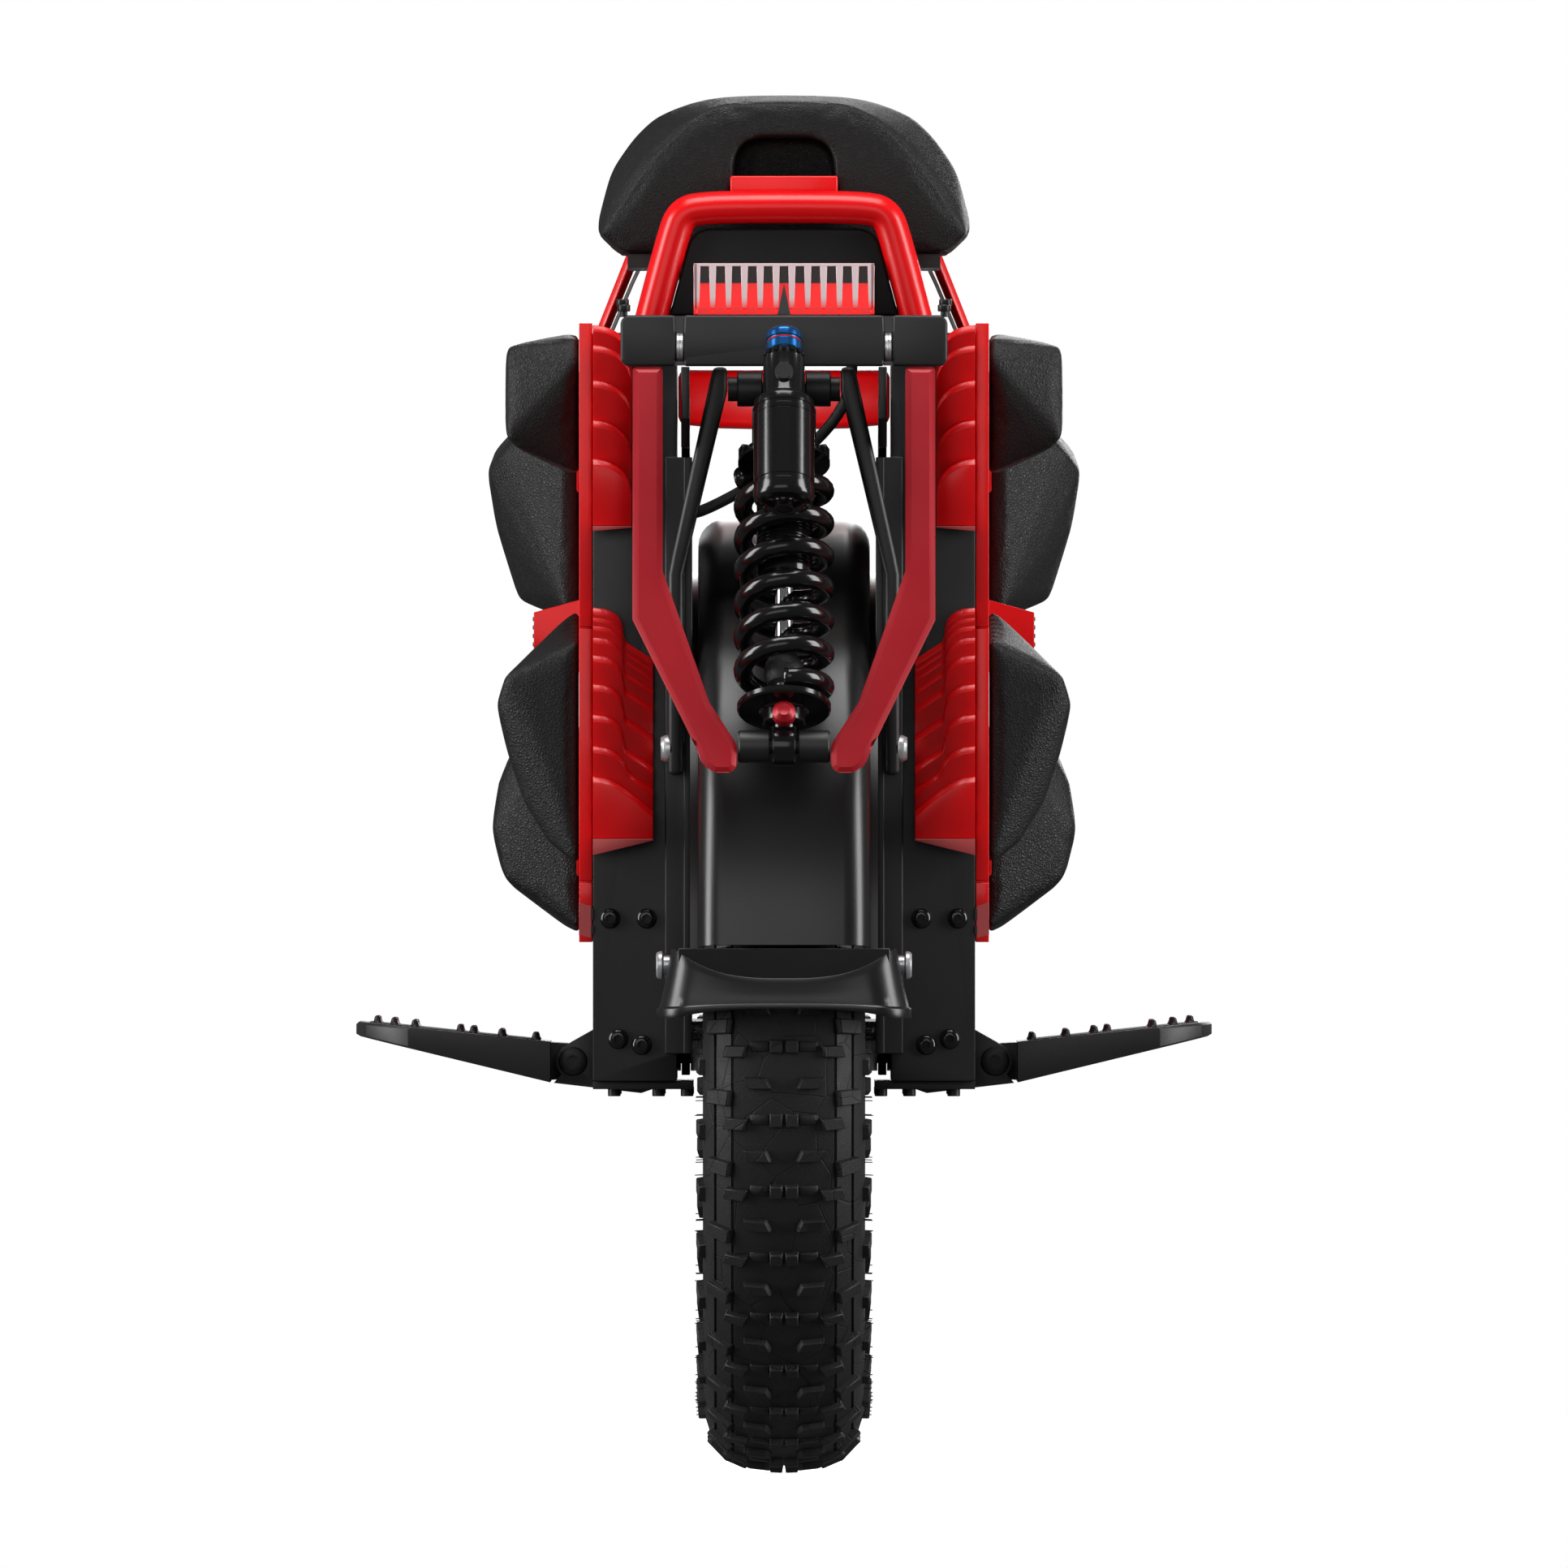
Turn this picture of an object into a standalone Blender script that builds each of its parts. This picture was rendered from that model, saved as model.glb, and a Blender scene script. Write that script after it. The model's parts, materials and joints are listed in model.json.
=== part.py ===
"""Electric unicycle with a coil shock at the rear, modelled in metres, +Z up, +Y forward.

The origin is on the ground under the axle. The wheel carriage slides up the body on its fork
legs, and the shock leans between the body (upper eye) and the carriage (lower eye).
"""
import math

import bmesh
import bpy
from mathutils import Matrix, Vector

GAP = 0.0003                     # clearance between pieces that rest on each other

# Wheel
TYRE_RADIUS = 0.228
TYRE_WIDTH = 0.093
RIM_RADIUS = 0.150
FLANGE_HEIGHT = 0.008
WHEEL_SEGMENTS = 36
AXLE_RADIUS = 0.010
NUT_RADIUS = 0.014
STATOR_RADIUS = 0.100

# Widths from the middle outwards
TYRE_TO_FORK = 0.0035
FORK_THICKNESS = 0.0045
FORK_TO_CASE = 0.0023
CASE_WIDTH = 0.0445
CASE_WALL = 0.004
PANEL_THICKNESS = 0.007
VENT_BULGE = 0.0244
SLIDE_GAP = 0.0021               # fender and rails to what slides past them

# Body
CASE_HALF_DEPTH = 0.150
GROUND_TO_CASE_DROP = 0.0185     # case bottom below the axle
TRAVEL = 0.040
FENDER_HEADROOM = 0.0584
PANEL_SKIRT = 0.0735             # case left bare under the side panel
DECK_HEIGHT = 0.0344
HOOP_DEPTH = 0.022
SEAT_HEIGHT = 0.083

# Fender, arms and shock
FENDER_CLEARANCE = 0.022
FENDER_RISE = 0.030              # fender centre above the axle
SHEET = 0.003
ARM_DEPTH = 0.0155
ARM_WIDTH = 0.0159
ARM_TO_FORK = 0.020              # top of a black arm, inwards of the fork leg
CROSSBEAM_HEIGHT = 0.027
EYE_DROP = 0.030                 # upper eye below the case top
EYE_BEHIND_CASE = 0.012
SHOCK_RISE = 0.1894              # height between the two eyes
EYE_BEHIND_FENDER = 0.0396
SPRING_RADIUS = 0.0268
SPRING_WIRE = 0.0050
SPRING_COILS = 7
RESERVOIR_RADIUS = 0.0162
SPRING_TO_RESERVOIR = 0.003
SHAFT_RADIUS = 0.005

# Pedals
PEDAL_REACH = 0.1151
PEDAL_HALF_LENGTH = 0.110
PEDAL_CORNER = 0.040
PEDAL_PIN_RADIUS = 0.0045
BOSS_RADIUS = 0.0093
BOSS_HALF_LENGTH = 0.060
LUG_THICKNESS = 0.012

# Levels worked out from the sizes above
AXLE_Z = TYRE_RADIUS
FORK_X = TYRE_WIDTH / 2 + TYRE_TO_FORK
CASE_X = FORK_X + FORK_THICKNESS + FORK_TO_CASE
CASE_OUT_X = CASE_X + CASE_WIDTH
PANEL_X = CASE_OUT_X + GAP
PANEL_OUT_X = PANEL_X + PANEL_THICKNESS
FENDER_RADIUS = TYRE_RADIUS + FENDER_CLEARANCE
FENDER_Z = AXLE_Z + FENDER_RISE
FENDER_TOP = FENDER_Z + FENDER_RADIUS
FENDER_X = CASE_X - 0.0112
RAIL_X = FENDER_X + SLIDE_GAP + 0.0009
CASE_BOTTOM = AXLE_Z - GROUND_TO_CASE_DROP
CASE_TOP = FENDER_TOP + TRAVEL + FENDER_HEADROOM - 0.0004
REAR = -CASE_HALF_DEPTH
PANEL_BOTTOM = CASE_BOTTOM + PANEL_SKIRT
PANEL_TOP = CASE_TOP + 0.005
CROSSBEAM_Z = CASE_TOP - 0.018
CROSSBEAM_Y = REAR - 0.0215 - ARM_DEPTH / 2
ARM_OUT_X = CASE_X + 0.0233
DECK_TOP = CASE_TOP + DECK_HEIGHT
SEAT_BOTTOM = DECK_TOP + 0.008
SEAT_TOP = SEAT_BOTTOM + SEAT_HEIGHT

UPPER_EYE = Vector((0.0, REAR - EYE_BEHIND_CASE, CASE_TOP - EYE_DROP))
LOWER_EYE_Z = UPPER_EYE.z - SHOCK_RISE
FENDER_REACH = math.sqrt(FENDER_RADIUS ** 2 - (LOWER_EYE_Z - FENDER_Z) ** 2)
LOWER_EYE = Vector((0.0, -FENDER_REACH - EYE_BEHIND_FENDER, LOWER_EYE_Z))
SHOCK_LENGTH = (UPPER_EYE - LOWER_EYE).length
DOWN = (LOWER_EYE - UPPER_EYE).normalized()
BEHIND = Vector((0.0, DOWN.z, -DOWN.y))
SEAT_RING = SHOCK_LENGTH - 0.0246    # spring seat, along the shock from the upper eye
COLLAR_END = 0.0447
RESERVOIR_OFFSET = SPRING_RADIUS + SPRING_TO_RESERVOIR + RESERVOIR_RADIUS
RESERVOIR_TOP = UPPER_EYE + BEHIND * RESERVOIR_OFFSET

PEDAL_X = CASE_OUT_X + 0.0108
PEDAL_Z = CASE_BOTTOM + 0.010


# ---------------------------------------------------------------- finishes

FINISHES = {                       # colour, roughness, metallic
    "satin_black": ((0.020, 0.020, 0.021), 0.45, 0.0),
    "gloss_black": ((0.012, 0.012, 0.013), 0.18, 0.0),
    "dark_metal": ((0.035, 0.035, 0.037), 0.38, 0.8),
    "panel_red": ((0.680, 0.003, 0.006), 0.25, 0.0),
    "crimson": ((0.350, 0.008, 0.016), 0.30, 0.9),
    "leather": ((0.022, 0.022, 0.023), 0.60, 0.0),
    "rubber": ((0.018, 0.018, 0.018), 0.80, 0.0),
    "steel": ((0.550, 0.550, 0.560), 0.25, 1.0),
    "blue": ((0.010, 0.125, 0.350), 0.30, 0.9),
    "lens_red": ((0.800, 0.010, 0.010), 0.10, 0.0),
    "lens_clear": ((0.850, 0.870, 0.900), 0.05, 0.0),
    "pack_wrap": ((0.020, 0.080, 0.220), 0.50, 0.0),
    "copper": ((0.600, 0.250, 0.120), 0.35, 1.0),
}


def paint(obj, finish):
    """Give an object a material of its own in one of the finishes."""
    colour, roughness, metallic = FINISHES[finish]
    mat = bpy.data.materials.new(obj.name)
    mat.use_nodes = True
    shader = mat.node_tree.nodes["Principled BSDF"]
    shader.inputs["Base Color"].default_value = (*colour, 1.0)
    shader.inputs["Roughness"].default_value = roughness
    shader.inputs["Metallic"].default_value = metallic
    mat.diffuse_color = (*colour, 1.0)
    obj.data.materials.append(mat)


# ---------------------------------------------------------------- modelling helpers

def clear_scene():
    for obj in list(bpy.data.objects):
        bpy.data.objects.remove(obj, do_unlink=True)


def pivot(name, location, parent=None):
    """Empty on a joint's axis, which carries the pieces that move with it."""
    empty = bpy.data.objects.new(name, None)
    bpy.context.collection.objects.link(empty)
    empty.location = location
    if parent:
        empty.parent = parent
        empty.location = Vector(location) - Vector(parent["place"])
    empty["place"] = list(location)
    return empty


def attach(obj, parent):
    """Parent an object whose mesh is in world coordinates."""
    if parent:
        obj.parent = parent
        obj.matrix_parent_inverse = Matrix.Translation(-Vector(parent["place"]))


def node(name, bm, finish, parent=None, smooth=False):
    """Turn a bmesh into one named piece of the model."""
    bmesh.ops.recalc_face_normals(bm, faces=bm.faces)
    mesh = bpy.data.meshes.new(name)
    bm.to_mesh(mesh)
    bm.free()
    obj = bpy.data.objects.new(name, mesh)
    bpy.context.collection.objects.link(obj)
    if smooth:
        mesh.shade_smooth()
        mesh.set_sharp_from_angle(angle=math.radians(35))
    paint(obj, finish)
    attach(obj, parent)
    return obj


def tool(obj, bm, operation):
    """Join a shape to an object, or cut it out, with an exact Boolean."""
    bmesh.ops.recalc_face_normals(bm, faces=bm.faces)
    mesh = bpy.data.meshes.new(obj.name + "_tool")
    bm.to_mesh(mesh)
    bm.free()
    cutter = bpy.data.objects.new(obj.name + "_tool", mesh)
    bpy.context.collection.objects.link(cutter)
    cutter.hide_render = True
    cutter.display_type = "WIRE"
    attach(cutter, obj.parent)
    boolean = obj.modifiers.new(operation.lower(), "BOOLEAN")
    boolean.operation = operation
    boolean.object = cutter
    boolean.solver = "EXACT"


def join(obj, *shapes):
    for shape in shapes:
        tool(obj, shape, "UNION")


def cut(obj, *shapes):
    for shape in shapes:
        tool(obj, shape, "DIFFERENCE")


def soften(obj, width, segments=1):
    """Bevel the edges of a piece."""
    bevel = obj.modifiers.new("bevel", "BEVEL")
    bevel.width = width
    bevel.segments = segments
    bevel.limit_method = "ANGLE"
    bevel.angle_limit = math.radians(30)


def mirrored(bm, sign):
    """Reflect a right-hand shape to the left side when sign is -1."""
    if sign < 0:
        bmesh.ops.scale(bm, vec=(-1, 1, 1), verts=bm.verts)
    return bm


def prism(outline, axis, low, high):
    """Closed outline run along an axis. Its pairs are the other two axes, in X, Y, Z order."""
    bm = bmesh.new()
    order = {"X": lambda a, b: (low, a, b), "Y": lambda a, b: (a, low, b), "Z": lambda a, b: (a, b, low)}
    way = {"X": (1, 0, 0), "Y": (0, 1, 0), "Z": (0, 0, 1)}[axis]
    face = bm.faces.new([bm.verts.new(order[axis](a, b)) for a, b in outline])
    grown = bmesh.ops.extrude_face_region(bm, geom=[face], use_keep_orig=True)
    moved = [part for part in grown["geom"] if isinstance(part, bmesh.types.BMVert)]
    bmesh.ops.translate(bm, vec=Vector(way) * (high - low), verts=moved)
    return bm


def box(x0, x1, y0, y1, z0, z1):
    return prism([(x0, y0), (x1, y0), (x1, y1), (x0, y1)], "Z", z0, z1)


def both_sides(half_outline):
    """Symmetric outline from the points of its right half, listed from bottom to top."""
    return half_outline + [(-x, z) for x, z in reversed(half_outline)]


def turned(profile, centre, direction, segments=20, ring=False):
    """Turn (radius, distance) pairs about an axis. A ring profile closes on itself."""
    bm = bmesh.new()
    axis = Vector(direction).normalized()
    start = Vector((0, 0, -1)) if abs(axis.z) < 0.5 else Vector((0, -1, 0))
    start = (start - axis * start.dot(axis)).normalized()
    start.rotate(Matrix.Rotation(math.pi / segments, 3, axis))
    points = list(profile)
    if not ring:
        points = [(0.0, points[0][1])] + points + [(0.0, points[-1][1])]
    verts = [bm.verts.new(Vector(centre) + axis * along + start * radius) for radius, along in points]
    pairs = list(zip(verts, verts[1:]))
    if ring:
        pairs.append((verts[-1], verts[0]))
    edges = [bm.edges.new(pair) for pair in pairs]
    bmesh.ops.spin(bm, geom=verts + edges, cent=centre, axis=axis, angle=2 * math.pi,
                   steps=segments, use_merge=True)
    bmesh.ops.remove_doubles(bm, verts=bm.verts, dist=1e-6)
    bmesh.ops.dissolve_degenerate(bm, edges=bm.edges, dist=1e-7)
    return bm


def rod(centre, direction, radius, start, end, segments=16):
    return turned([(radius, start), (radius, end)], centre, direction, segments)


def loft(sections):
    """Skin through cross-sections with the same number of points, closed at both ends."""
    bm = bmesh.new()
    rings = [[bm.verts.new(point) for point in section] for section in sections]
    count = len(rings[0])
    for first, second in zip(rings, rings[1:]):
        for i in range(count):
            j = (i + 1) % count
            bm.faces.new((first[i], first[j], second[j], second[i]))
    bm.faces.new(rings[0])
    bm.faces.new(list(reversed(rings[-1])))
    return bm


def hull(points):
    """Smallest convex solid around the points."""
    bm = bmesh.new()
    for point in points:
        bm.verts.new(point)
    made = bmesh.ops.convex_hull(bm, input=bm.verts)
    spare = [part for part in made["geom_interior"] + made["geom_unused"]
             if isinstance(part, bmesh.types.BMVert)]
    bmesh.ops.delete(bm, geom=list(set(spare)), context="VERTS")
    return bm


def tube(name, points, radius, resolution, finish, parent=None):
    """Round tube along points, with closed ends."""
    curve = bpy.data.curves.new(name, "CURVE")
    curve.dimensions = "3D"
    curve.bevel_depth = radius
    curve.bevel_resolution = resolution
    curve.use_fill_caps = True
    spline = curve.splines.new("POLY")
    spline.points.add(len(points) - 1)
    for slot, point in zip(spline.points, points):
        slot.co = (*point, 1.0)
    obj = bpy.data.objects.new(name, curve)
    bpy.context.collection.objects.link(obj)
    paint(obj, finish)
    attach(obj, parent)
    return obj


def smooth_route(points, steps):
    """Points on a smooth curve that passes through the given ones."""
    ends = [points[0] * 2 - points[1]] + points + [points[-1] * 2 - points[-2]]
    route = []
    for a, b, c, d in zip(ends, ends[1:], ends[2:], ends[3:]):
        for step in range(steps):
            t = step / steps
            route.append(0.5 * (2 * b + (c - a) * t + (2 * a - 5 * b + 4 * c - d) * t ** 2
                                + (3 * b - 3 * c + d - a) * t ** 3))
    return route + [points[-1]]


# ---------------------------------------------------------------- wheel

def make_tyre(parent):
    half = TYRE_WIDTH / 2
    flat = TYRE_RADIUS / math.cos(math.pi / WHEEL_SEGMENTS)
    bead = RIM_RADIUS + 2 * GAP
    rise = flat - RIM_RADIUS
    outer = [(bead, half - 0.0105), (RIM_RADIUS + FLANGE_HEIGHT + 0.0015, half - 0.0105),
             (RIM_RADIUS + 0.40 * rise, half), (RIM_RADIUS + 0.72 * rise, half),
             (RIM_RADIUS + 0.92 * rise, half - 0.0085), (flat, half - 0.0265)]
    inner = [(RIM_RADIUS + 0.80 * rise, half - 0.0165), (RIM_RADIUS + 0.56 * rise, half - 0.0095),
             (RIM_RADIUS + 0.16 * rise, half - 0.0165), (bead, half - 0.0165)]
    profile = outer + [(r, -x) for r, x in reversed(outer)]
    profile += [(r, -x) for r, x in reversed(inner)] + inner
    bm = turned(profile, (0, 0, AXLE_Z), (1, 0, 0), WHEEL_SEGMENTS, ring=True)
    node("tyre", bm, "rubber", parent, smooth=True)


def make_rim(parent):
    seat = TYRE_WIDTH / 2 - 0.0102
    edge = seat + 0.004
    flange = RIM_RADIUS + FLANGE_HEIGHT
    bore = RIM_RADIUS - 0.028
    profile = [(RIM_RADIUS, -seat), (flange, -seat), (flange, -edge), (bore, -edge),
               (bore, edge), (flange, edge), (flange, seat), (RIM_RADIUS, seat)]
    bm = turned(profile, (0, 0, AXLE_Z), (1, 0, 0), WHEEL_SEGMENTS, ring=True)
    node("rim", bm, "dark_metal", parent, smooth=True)
    for side, sign in (("left", -1), ("right", 1)):
        fit = bore - GAP
        cover = [(NUT_RADIUS + 4 * GAP, edge - 0.003), (0.040, edge - 0.003), (0.050, edge - 0.006),
                 (fit, edge - 0.006), (fit, edge - 0.011), (NUT_RADIUS + 4 * GAP, edge - 0.011)]
        disc = turned(cover, (0, 0, AXLE_Z), (1, 0, 0), WHEEL_SEGMENTS, ring=True)
        node("motor_cover_" + side, mirrored(disc, sign), "dark_metal", parent, smooth=True)


def make_axle(parent):
    inside = FORK_X - GAP
    outside = FORK_X + FORK_THICKNESS + GAP
    end = outside + 0.005
    half = [(STATOR_RADIUS * 0.14, 0.0), (STATOR_RADIUS * 0.14, inside), (AXLE_RADIUS, inside),
            (AXLE_RADIUS, outside), (NUT_RADIUS, outside), (NUT_RADIUS, end)]
    profile = [(r, -x) for r, x in reversed(half[1:])] + half[1:]
    node("axle", turned(profile, (0, 0, AXLE_Z), (1, 0, 0), 20), "steel", parent, smooth=True)
    bore = STATOR_RADIUS * 0.14 + GAP
    half = TYRE_WIDTH / 2 - 0.0245
    ring = [(bore, -half), (STATOR_RADIUS, -half), (STATOR_RADIUS, half), (bore, half)]
    node("stator", turned(ring, (0, 0, AXLE_Z), (1, 0, 0), 24, ring=True), "copper", parent, smooth=True)


# ---------------------------------------------------------------- wheel carriage

def make_fork_legs(parent):
    """Plates beside the wheel that carry the axle and reach back to the crossbeam."""
    arm_low = CROSSBEAM_Z - 0.043
    arm_top = CROSSBEAM_Z - 0.016
    front, rear = CROSSBEAM_Y + ARM_DEPTH / 2, CROSSBEAM_Y - ARM_DEPTH / 2
    outline = [(-0.026, AXLE_Z - 0.016), (0.026, AXLE_Z - 0.016), (0.026, arm_top - 0.026),
               (0.004, arm_top), (front, arm_top), (front, CROSSBEAM_Z - GAP),
               (rear, CROSSBEAM_Z - GAP), (rear, arm_low + 0.015), (front, arm_low),
               (-0.060, arm_low), (-0.026, arm_low - 0.045)]
    for side, sign in (("left", -1), ("right", 1)):
        bm = prism(outline, "X", FORK_X, FORK_X + FORK_THICKNESS)
        leg = node("fork_leg_" + side, mirrored(bm, sign), "dark_metal", parent)
        cut(leg, rod((0, 0, AXLE_Z), (1, 0, 0), AXLE_RADIUS + GAP, sign * 0.03, sign * 0.09))


def make_crossbeam(parent):
    low, top = CROSSBEAM_Z, CROSSBEAM_Z + CROSSBEAM_HEIGHT
    middle, block, end = CASE_X - 0.0039, CASE_X + 0.0009, CASE_X + 0.0298
    half = [(middle, low), (middle, low + 0.003), (block, low + 0.003), (block, low),
            (end - 0.003, low), (end, low + 0.003), (end, top - 0.003), (end - 0.003, top),
            (block, top), (block, top - 0.009), (middle, top - 0.009), (middle, top)]
    bm = prism(both_sides(half), "Y", CROSSBEAM_Y - ARM_DEPTH / 2, CROSSBEAM_Y + ARM_DEPTH / 2)
    node("crossbeam", bm, "satin_black", parent)


def make_link_arms(parent):
    """Arms that hang from the crossbeam and bend in and back to the lower shock eye."""
    top = CROSSBEAM_Z - GAP
    outer, inner = ARM_OUT_X, ARM_OUT_X - ARM_WIDTH
    tip_in = SPRING_RADIUS - 0.0020
    tip_out = tip_in + 1.33 * ARM_WIDTH
    low = LOWER_EYE.z
    knee = low + 0.0235
    outline = [(inner, top), (outer, top), (outer, top - 0.134), (tip_in + 0.0333, knee),
               (tip_out, low - 0.002), (tip_out - 0.0030, low - 0.0095),
               (tip_out - 0.0090, low - 0.0138), (tip_in + 0.0030, low - 0.0138),
               (tip_in, low - 0.0105), (tip_in, low + 0.0010), (tip_in + 0.0147, knee),
               (inner, top - 0.108)]
    lean = (CROSSBEAM_Y - LOWER_EYE.y) / (top - low)
    for side, sign in (("left", -1), ("right", 1)):
        bm = prism(outline, "Y", -ARM_DEPTH / 2, ARM_DEPTH / 2)
        for vert in bm.verts:
            vert.co.y += CROSSBEAM_Y - (top - vert.co.z) * lean
        arm = node("link_arm_" + side, mirrored(bm, sign), "crimson", parent)
        soften(arm, 0.0015)


def make_lower_pin(parent):
    end = SPRING_RADIUS - 0.0020 - GAP
    half = [(0.0040, 0.0077), (0.00865, 0.0077), (0.00865, end)]
    profile = [(r, -x) for r, x in reversed(half)] + half
    node("lower_shock_pin", turned(profile, LOWER_EYE, (1, 0, 0), 14), "satin_black", parent, smooth=True)


def fender_section(angle):
    """Channel section of the fender at an angle measured up from the rear."""
    radius, width = FENDER_RADIUS, FENDER_X
    half = [(radius - 0.030, width), (radius - 0.014, width), (radius - 0.004, width - 0.005),
            (radius, width - 0.016)]
    inner = [(r - SHEET, x - 0.0006) if r == radius else (r - 0.001, x - SHEET) for r, x in half]
    inner[0] = (radius - 0.030, width - SHEET)
    loop = half + [(r, -x) for r, x in reversed(half)] + [(r, -x) for r, x in inner] + inner[::-1]
    return [(x, -r * math.cos(angle), FENDER_Z + r * math.sin(angle)) for r, x in loop]


def make_fender(parent):
    start, end, steps = math.radians(5.5), math.radians(150), 14
    angles = [start + (end - start) * i / steps for i in range(steps + 1)]
    bm = loft([fender_section(angle) for angle in angles])
    node("fender", bm, "satin_black", parent, smooth=True)
    low, top = AXLE_Z + 0.015, AXLE_Z + 0.052
    half = [(CASE_X + 0.0106, low), (CASE_X + 0.0106, low + 0.007), (CASE_X + 0.003, top)]
    flap = node("mud_flap", prism(both_sides(half), "Y", -FENDER_RADIUS - 0.012, REAR - 0.040),
                "satin_black", parent)
    cut(flap, box(-TYRE_WIDTH / 2 - 0.0015, TYRE_WIDTH / 2 + 0.0015,
                  -FENDER_RADIUS - 0.0008, REAR, low - 0.01, top + 0.01))


# ---------------------------------------------------------------- shock

def along(distance):
    """Point on the shock's axis, measured from the upper eye."""
    return UPPER_EYE + DOWN * distance


def make_damper(parent):
    tube_end = SEAT_RING - 0.074
    profile = [(0.0105, 0.006), (0.0105, 0.010), (0.0170, 0.0125), (0.0170, 0.030),
               (0.0145, 0.034), (0.0145, tube_end),
               (SHAFT_RADIUS + 0.0004, tube_end), (SHAFT_RADIUS + 0.0004, 0.058)]
    damper = node("damper_body", turned(profile, UPPER_EYE, DOWN, 18), "gloss_black", parent, smooth=True)
    bridge = loft([[along(t) + BEHIND * reach + Vector((x, 0, 0)) for x, t in
                    ((-0.009, 0.010), (0.009, 0.010), (0.009, 0.026), (-0.009, 0.026))]
                   for reach in (0.010, RESERVOIR_OFFSET - 0.0110 - GAP)])
    join(damper, rod(UPPER_EYE, (1, 0, 0), 0.011, -0.0112, 0.0112, 18), bridge)
    cut(damper, rod(UPPER_EYE, (1, 0, 0), 0.0053, -0.02, 0.02))


def make_reservoir(parent):
    radius = RESERVOIR_RADIUS
    profile = [(0.0105, 0.0015), (0.0105, 0.0046), (0.0110, 0.0049), (0.0110, 0.0270),
               (radius, 0.0310), (radius, 0.0340), (radius - 0.001, 0.0345), (radius - 0.001, 0.0370),
               (radius, 0.0375), (radius, 0.0790), (radius - 0.001, 0.0795), (radius - 0.001, 0.0820),
               (radius, 0.0825), (radius, 0.0880), (radius - 0.003, 0.0910), (0.0050, 0.0910),
               (0.0050, 0.0937)]
    node("reservoir", turned(profile, RESERVOIR_TOP, DOWN, 20), "gloss_black", parent, smooth=True)


def make_collar(parent):
    edge = SPRING_RADIUS - 0.0023
    profile = [(0.0148, 0.0372), (edge - 0.002, 0.0372), (edge, 0.0390), (edge, COLLAR_END),
               (0.0148, COLLAR_END)]
    collar = turned(profile, UPPER_EYE, DOWN, 18, ring=True)
    node("preload_collar", collar, "gloss_black", parent, smooth=True)


def make_spring(parent):
    """Coil spring between the collar and the spring seat."""
    middle = SPRING_RADIUS - SPRING_WIRE
    start = COLLAR_END + SPRING_WIRE + 2 * GAP
    end = SEAT_RING - SPRING_WIRE - 2 * GAP
    side = Vector((1, 0, 0))
    steps = SPRING_COILS * 12
    points = []
    for step in range(steps + 1):
        turn = 2 * math.pi * SPRING_COILS * step / steps
        place = along(start + (end - start) * step / steps)
        points.append(place + (side * math.cos(turn) + BEHIND * math.sin(turn)) * middle)
    tube("coil_spring", points, SPRING_WIRE, 1, "gloss_black", parent)


def make_shaft(parent):
    top = SEAT_RING - 0.086
    end = SHOCK_LENGTH
    edge = SPRING_RADIUS - 0.0018
    profile = [(SHAFT_RADIUS, top), (SHAFT_RADIUS, SEAT_RING), (edge, SEAT_RING),
               (edge, SEAT_RING + 0.004), (0.0115, SEAT_RING + 0.006), (0.0115, end - 0.0115),
               (0.0060, end - 0.0100), (0.0060, end - 0.003)]
    shaft = node("damper_shaft", turned(profile, UPPER_EYE, DOWN, 18), "steel", parent, smooth=True)
    join(shaft, rod(LOWER_EYE, (1, 0, 0), 0.0105, -0.0060, 0.0060, 18))
    cut(shaft, rod(LOWER_EYE, (1, 0, 0), 0.0055, -0.02, 0.02))


def make_upper_pin(parent):
    end = FORK_X - ARM_TO_FORK - GAP
    half = [(0.0050, 0.0115), (0.0093, 0.0115), (0.0093, end - 0.0051), (0.0065, end - 0.0051), (0.0065, end)]
    profile = [(r, -x) for r, x in reversed(half)] + half
    node("upper_shock_pin", turned(profile, UPPER_EYE, (1, 0, 0), 16), "satin_black", parent, smooth=True)


def make_shock_arms(parent):
    """Black arms that hold the upper pin on the rails."""
    top = CROSSBEAM_Z - 0.0004
    foot = RAIL_X + 0.0048
    out = foot + 0.0079
    low = LOWER_EYE.z - 0.0151
    inner = FORK_X - ARM_TO_FORK
    outline = [(inner, top), (inner + 0.0076, top), (out - 0.0018, top - 0.1006), (out, top - 0.110),
               (out, low), (foot, low), (foot, top - 0.110), (foot - 0.0018, top - 0.1020),
               (inner, top - 0.0126)]
    for side, sign in (("left", -1), ("right", 1)):
        bm = prism(outline, "Y", UPPER_EYE.y - 0.0090, UPPER_EYE.y + 0.0050)
        node("shock_arm_" + side, mirrored(bm, sign), "satin_black", parent)


# ---------------------------------------------------------------- body

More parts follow.
